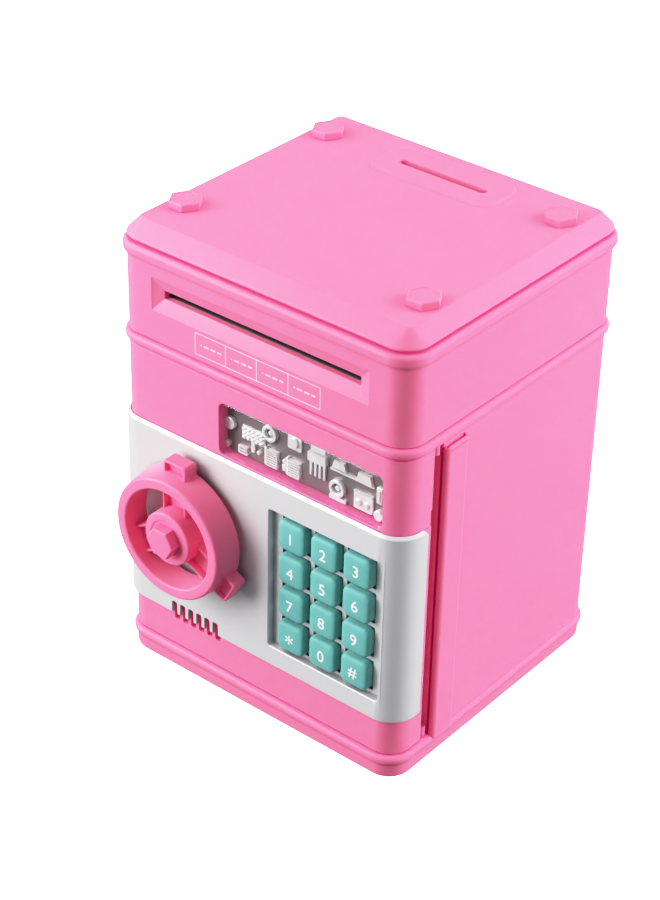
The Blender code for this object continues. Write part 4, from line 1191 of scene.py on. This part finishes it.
# ---------------- surroundings
def floor():
    """White studio sweep: a floor with a faint paper grain that curves up into a wall all round.

    It glows, so that it stays white in every view, and casts nothing on the object.
    """
    made = Surface("pale_floor", (0.62, 0.62, 0.62), 0.7)
    grain = made.spread(made.noise(30.0, 4.0), 0.0, 1.0)
    made.set("Base Color", made.blend(grain, (0.61, 0.61, 0.61), (0.63, 0.63, 0.63)))
    made.fix("Emission Color", (1.0, 1.0, 1.0, 1.0))
    made.fix("Emission Strength", 3.4)
    reach, bend, height = 2600.0, 500.0, 3000.0
    curve = [(reach - bend + out, bend + up) for out, up in arc(0.0, 0.0, bend, -90.0, 0.0, 12)]
    shape = bmesh.new()
    rings = []
    for radius, z in [(1.0, 0.0)] + curve + [(reach, height)]:
        rings.append([shape.verts.new((x, y, z)) for x, y in circle(radius, 96)])
    add_walls(shape, rings)
    shape.faces.new(rings[0])
    piece = mesh_object("floor", shape, made.material)
    piece.data.shade_smooth()
    piece.visible_diffuse = piece.visible_glossy = piece.visible_shadow = False


def direction(azimuth, elevation):
    """Unit vector from the object; azimuth 0 is the front and 90 the hinge side, in degrees."""
    a, e = math.radians(azimuth), math.radians(elevation)
    return Vector((math.sin(a) * math.cos(e), -math.cos(a) * math.cos(e), math.sin(e)))


def area_light(name, back, distance, size, power, colour=(1.0, 1.0, 1.0), glossy=True):
    """A soft box that looks at the middle of the object from a direction, in metres and watts."""
    data = bpy.data.lights.new(name, "AREA")
    data.shape = "RECTANGLE"
    data.size, data.size_y = size
    data.energy = power
    data.color = colour
    lamp = bpy.data.objects.new(name, data)
    lamp.location = Vector((0.0, 0.0, 0.09)) + back * distance
    lamp.rotation_euler = back.to_track_quat("Z", "Y").to_euler()
    lamp.visible_glossy = glossy
    bpy.context.scene.collection.objects.link(lamp)


def surround():
    """World light that is dim from below and brighter from above the horizon."""
    world = bpy.data.worlds.new("studio")
    world.use_nodes = True
    tree = world.node_tree
    shader = tree.nodes["Background"]
    shader.inputs["Color"].default_value = (0.99, 0.99, 1.05, 1.0)
    heading = tree.nodes.new("ShaderNodeSeparateXYZ")
    tree.links.new(tree.nodes.new("ShaderNodeTexCoord").outputs["Generated"], heading.inputs["Vector"])
    rise = tree.nodes.new("ShaderNodeMapRange")
    limits = {"From Min": -0.35, "From Max": 0.35, "To Min": 0.16, "To Max": 0.50}
    for socket, value in limits.items():
        rise.inputs[socket].default_value = value
    tree.links.new(heading.outputs["Z"], rise.inputs["Value"])
    tree.links.new(rise.outputs["Result"], shader.inputs["Strength"])
    bpy.context.scene.world = world


def lights():
    """The world and three soft boxes: one on the left, one on the right and one above the back."""
    surround()
    area_light("key_left", direction(-46.0, 20.0), 0.85, (0.68, 0.82), 19.6)
    area_light("side_right", direction(124.0, 20.0), 1.0, (0.7, 0.8), 23.2, glossy=False)
    area_light("top_fill", direction(200.0, 72.0), 1.2, (0.9, 0.9), 6.9, (1.0, 0.97, 0.88))


def film_response():
    """A camera's soft shoulder: linear up to the knee, then easing towards white."""
    knee = 0.5
    white = 3.5
    view = bpy.context.scene.view_settings
    view.view_transform = "Standard"
    view.use_curve_mapping = True
    mapping = view.curve_mapping
    mapping.white_level = (white, white, white)
    mapping.extend = "HORIZONTAL"
    curve = mapping.curves[3]
    curve.points[1].location = (1.0, 1.0)
    for light in (0.5, 0.6, 0.7, 0.8, 0.95, 1.1, 1.3, 1.5, 1.8, 2.2, 2.8):
        eased = knee + (1.0 - knee) * (1.0 - math.exp((knee - light) / (1.0 - knee)))
        curve.points.new(light / white, eased)
    for point in curve.points:
        point.handle_type = "VECTOR"
    mapping.update()


def camera():
    """The photograph's view: a direction round the object, with a small roll and shift."""
    azimuth, elevation, roll = 38.777, 32.868, math.radians(1.323)
    distance, aim_z, shift_right, shift_up = 830.29, 97.28, -12.936, -10.466
    back = direction(azimuth, elevation)
    level = Vector((math.cos(math.radians(azimuth)), math.sin(math.radians(azimuth)), 0.0))
    upright = back.cross(level)
    right = math.cos(roll) * level + math.sin(roll) * upright
    up = -math.sin(roll) * level + math.cos(roll) * upright
    aim = Vector((0.0, PLACE_Y, aim_z)) + shift_right * right + shift_up * up
    data = bpy.data.cameras.new("camera")
    data.lens = 91.67
    data.sensor_width = 36.0
    data.sensor_height = 36.0
    data.clip_start = 0.01
    data.clip_end = 20.0
    made = bpy.data.objects.new("camera", data)
    turn = Matrix((right, up, back)).transposed().to_4x4()
    made.matrix_world = Matrix.Translation((aim + distance * back) * MM) @ turn
    bpy.context.scene.collection.objects.link(made)
    bpy.context.scene.camera = made


lower_body()
feet()
upper_housing()
slot_shade_sheet()
lid()
hex_caps()
door()
faceplate()
keys()
amount_boxes()
lens()
relief()
handwheel()
hub_bolt()
inner_cover()
cover_screws()
battery_cover()
floor()
lights()
film_response()
camera()
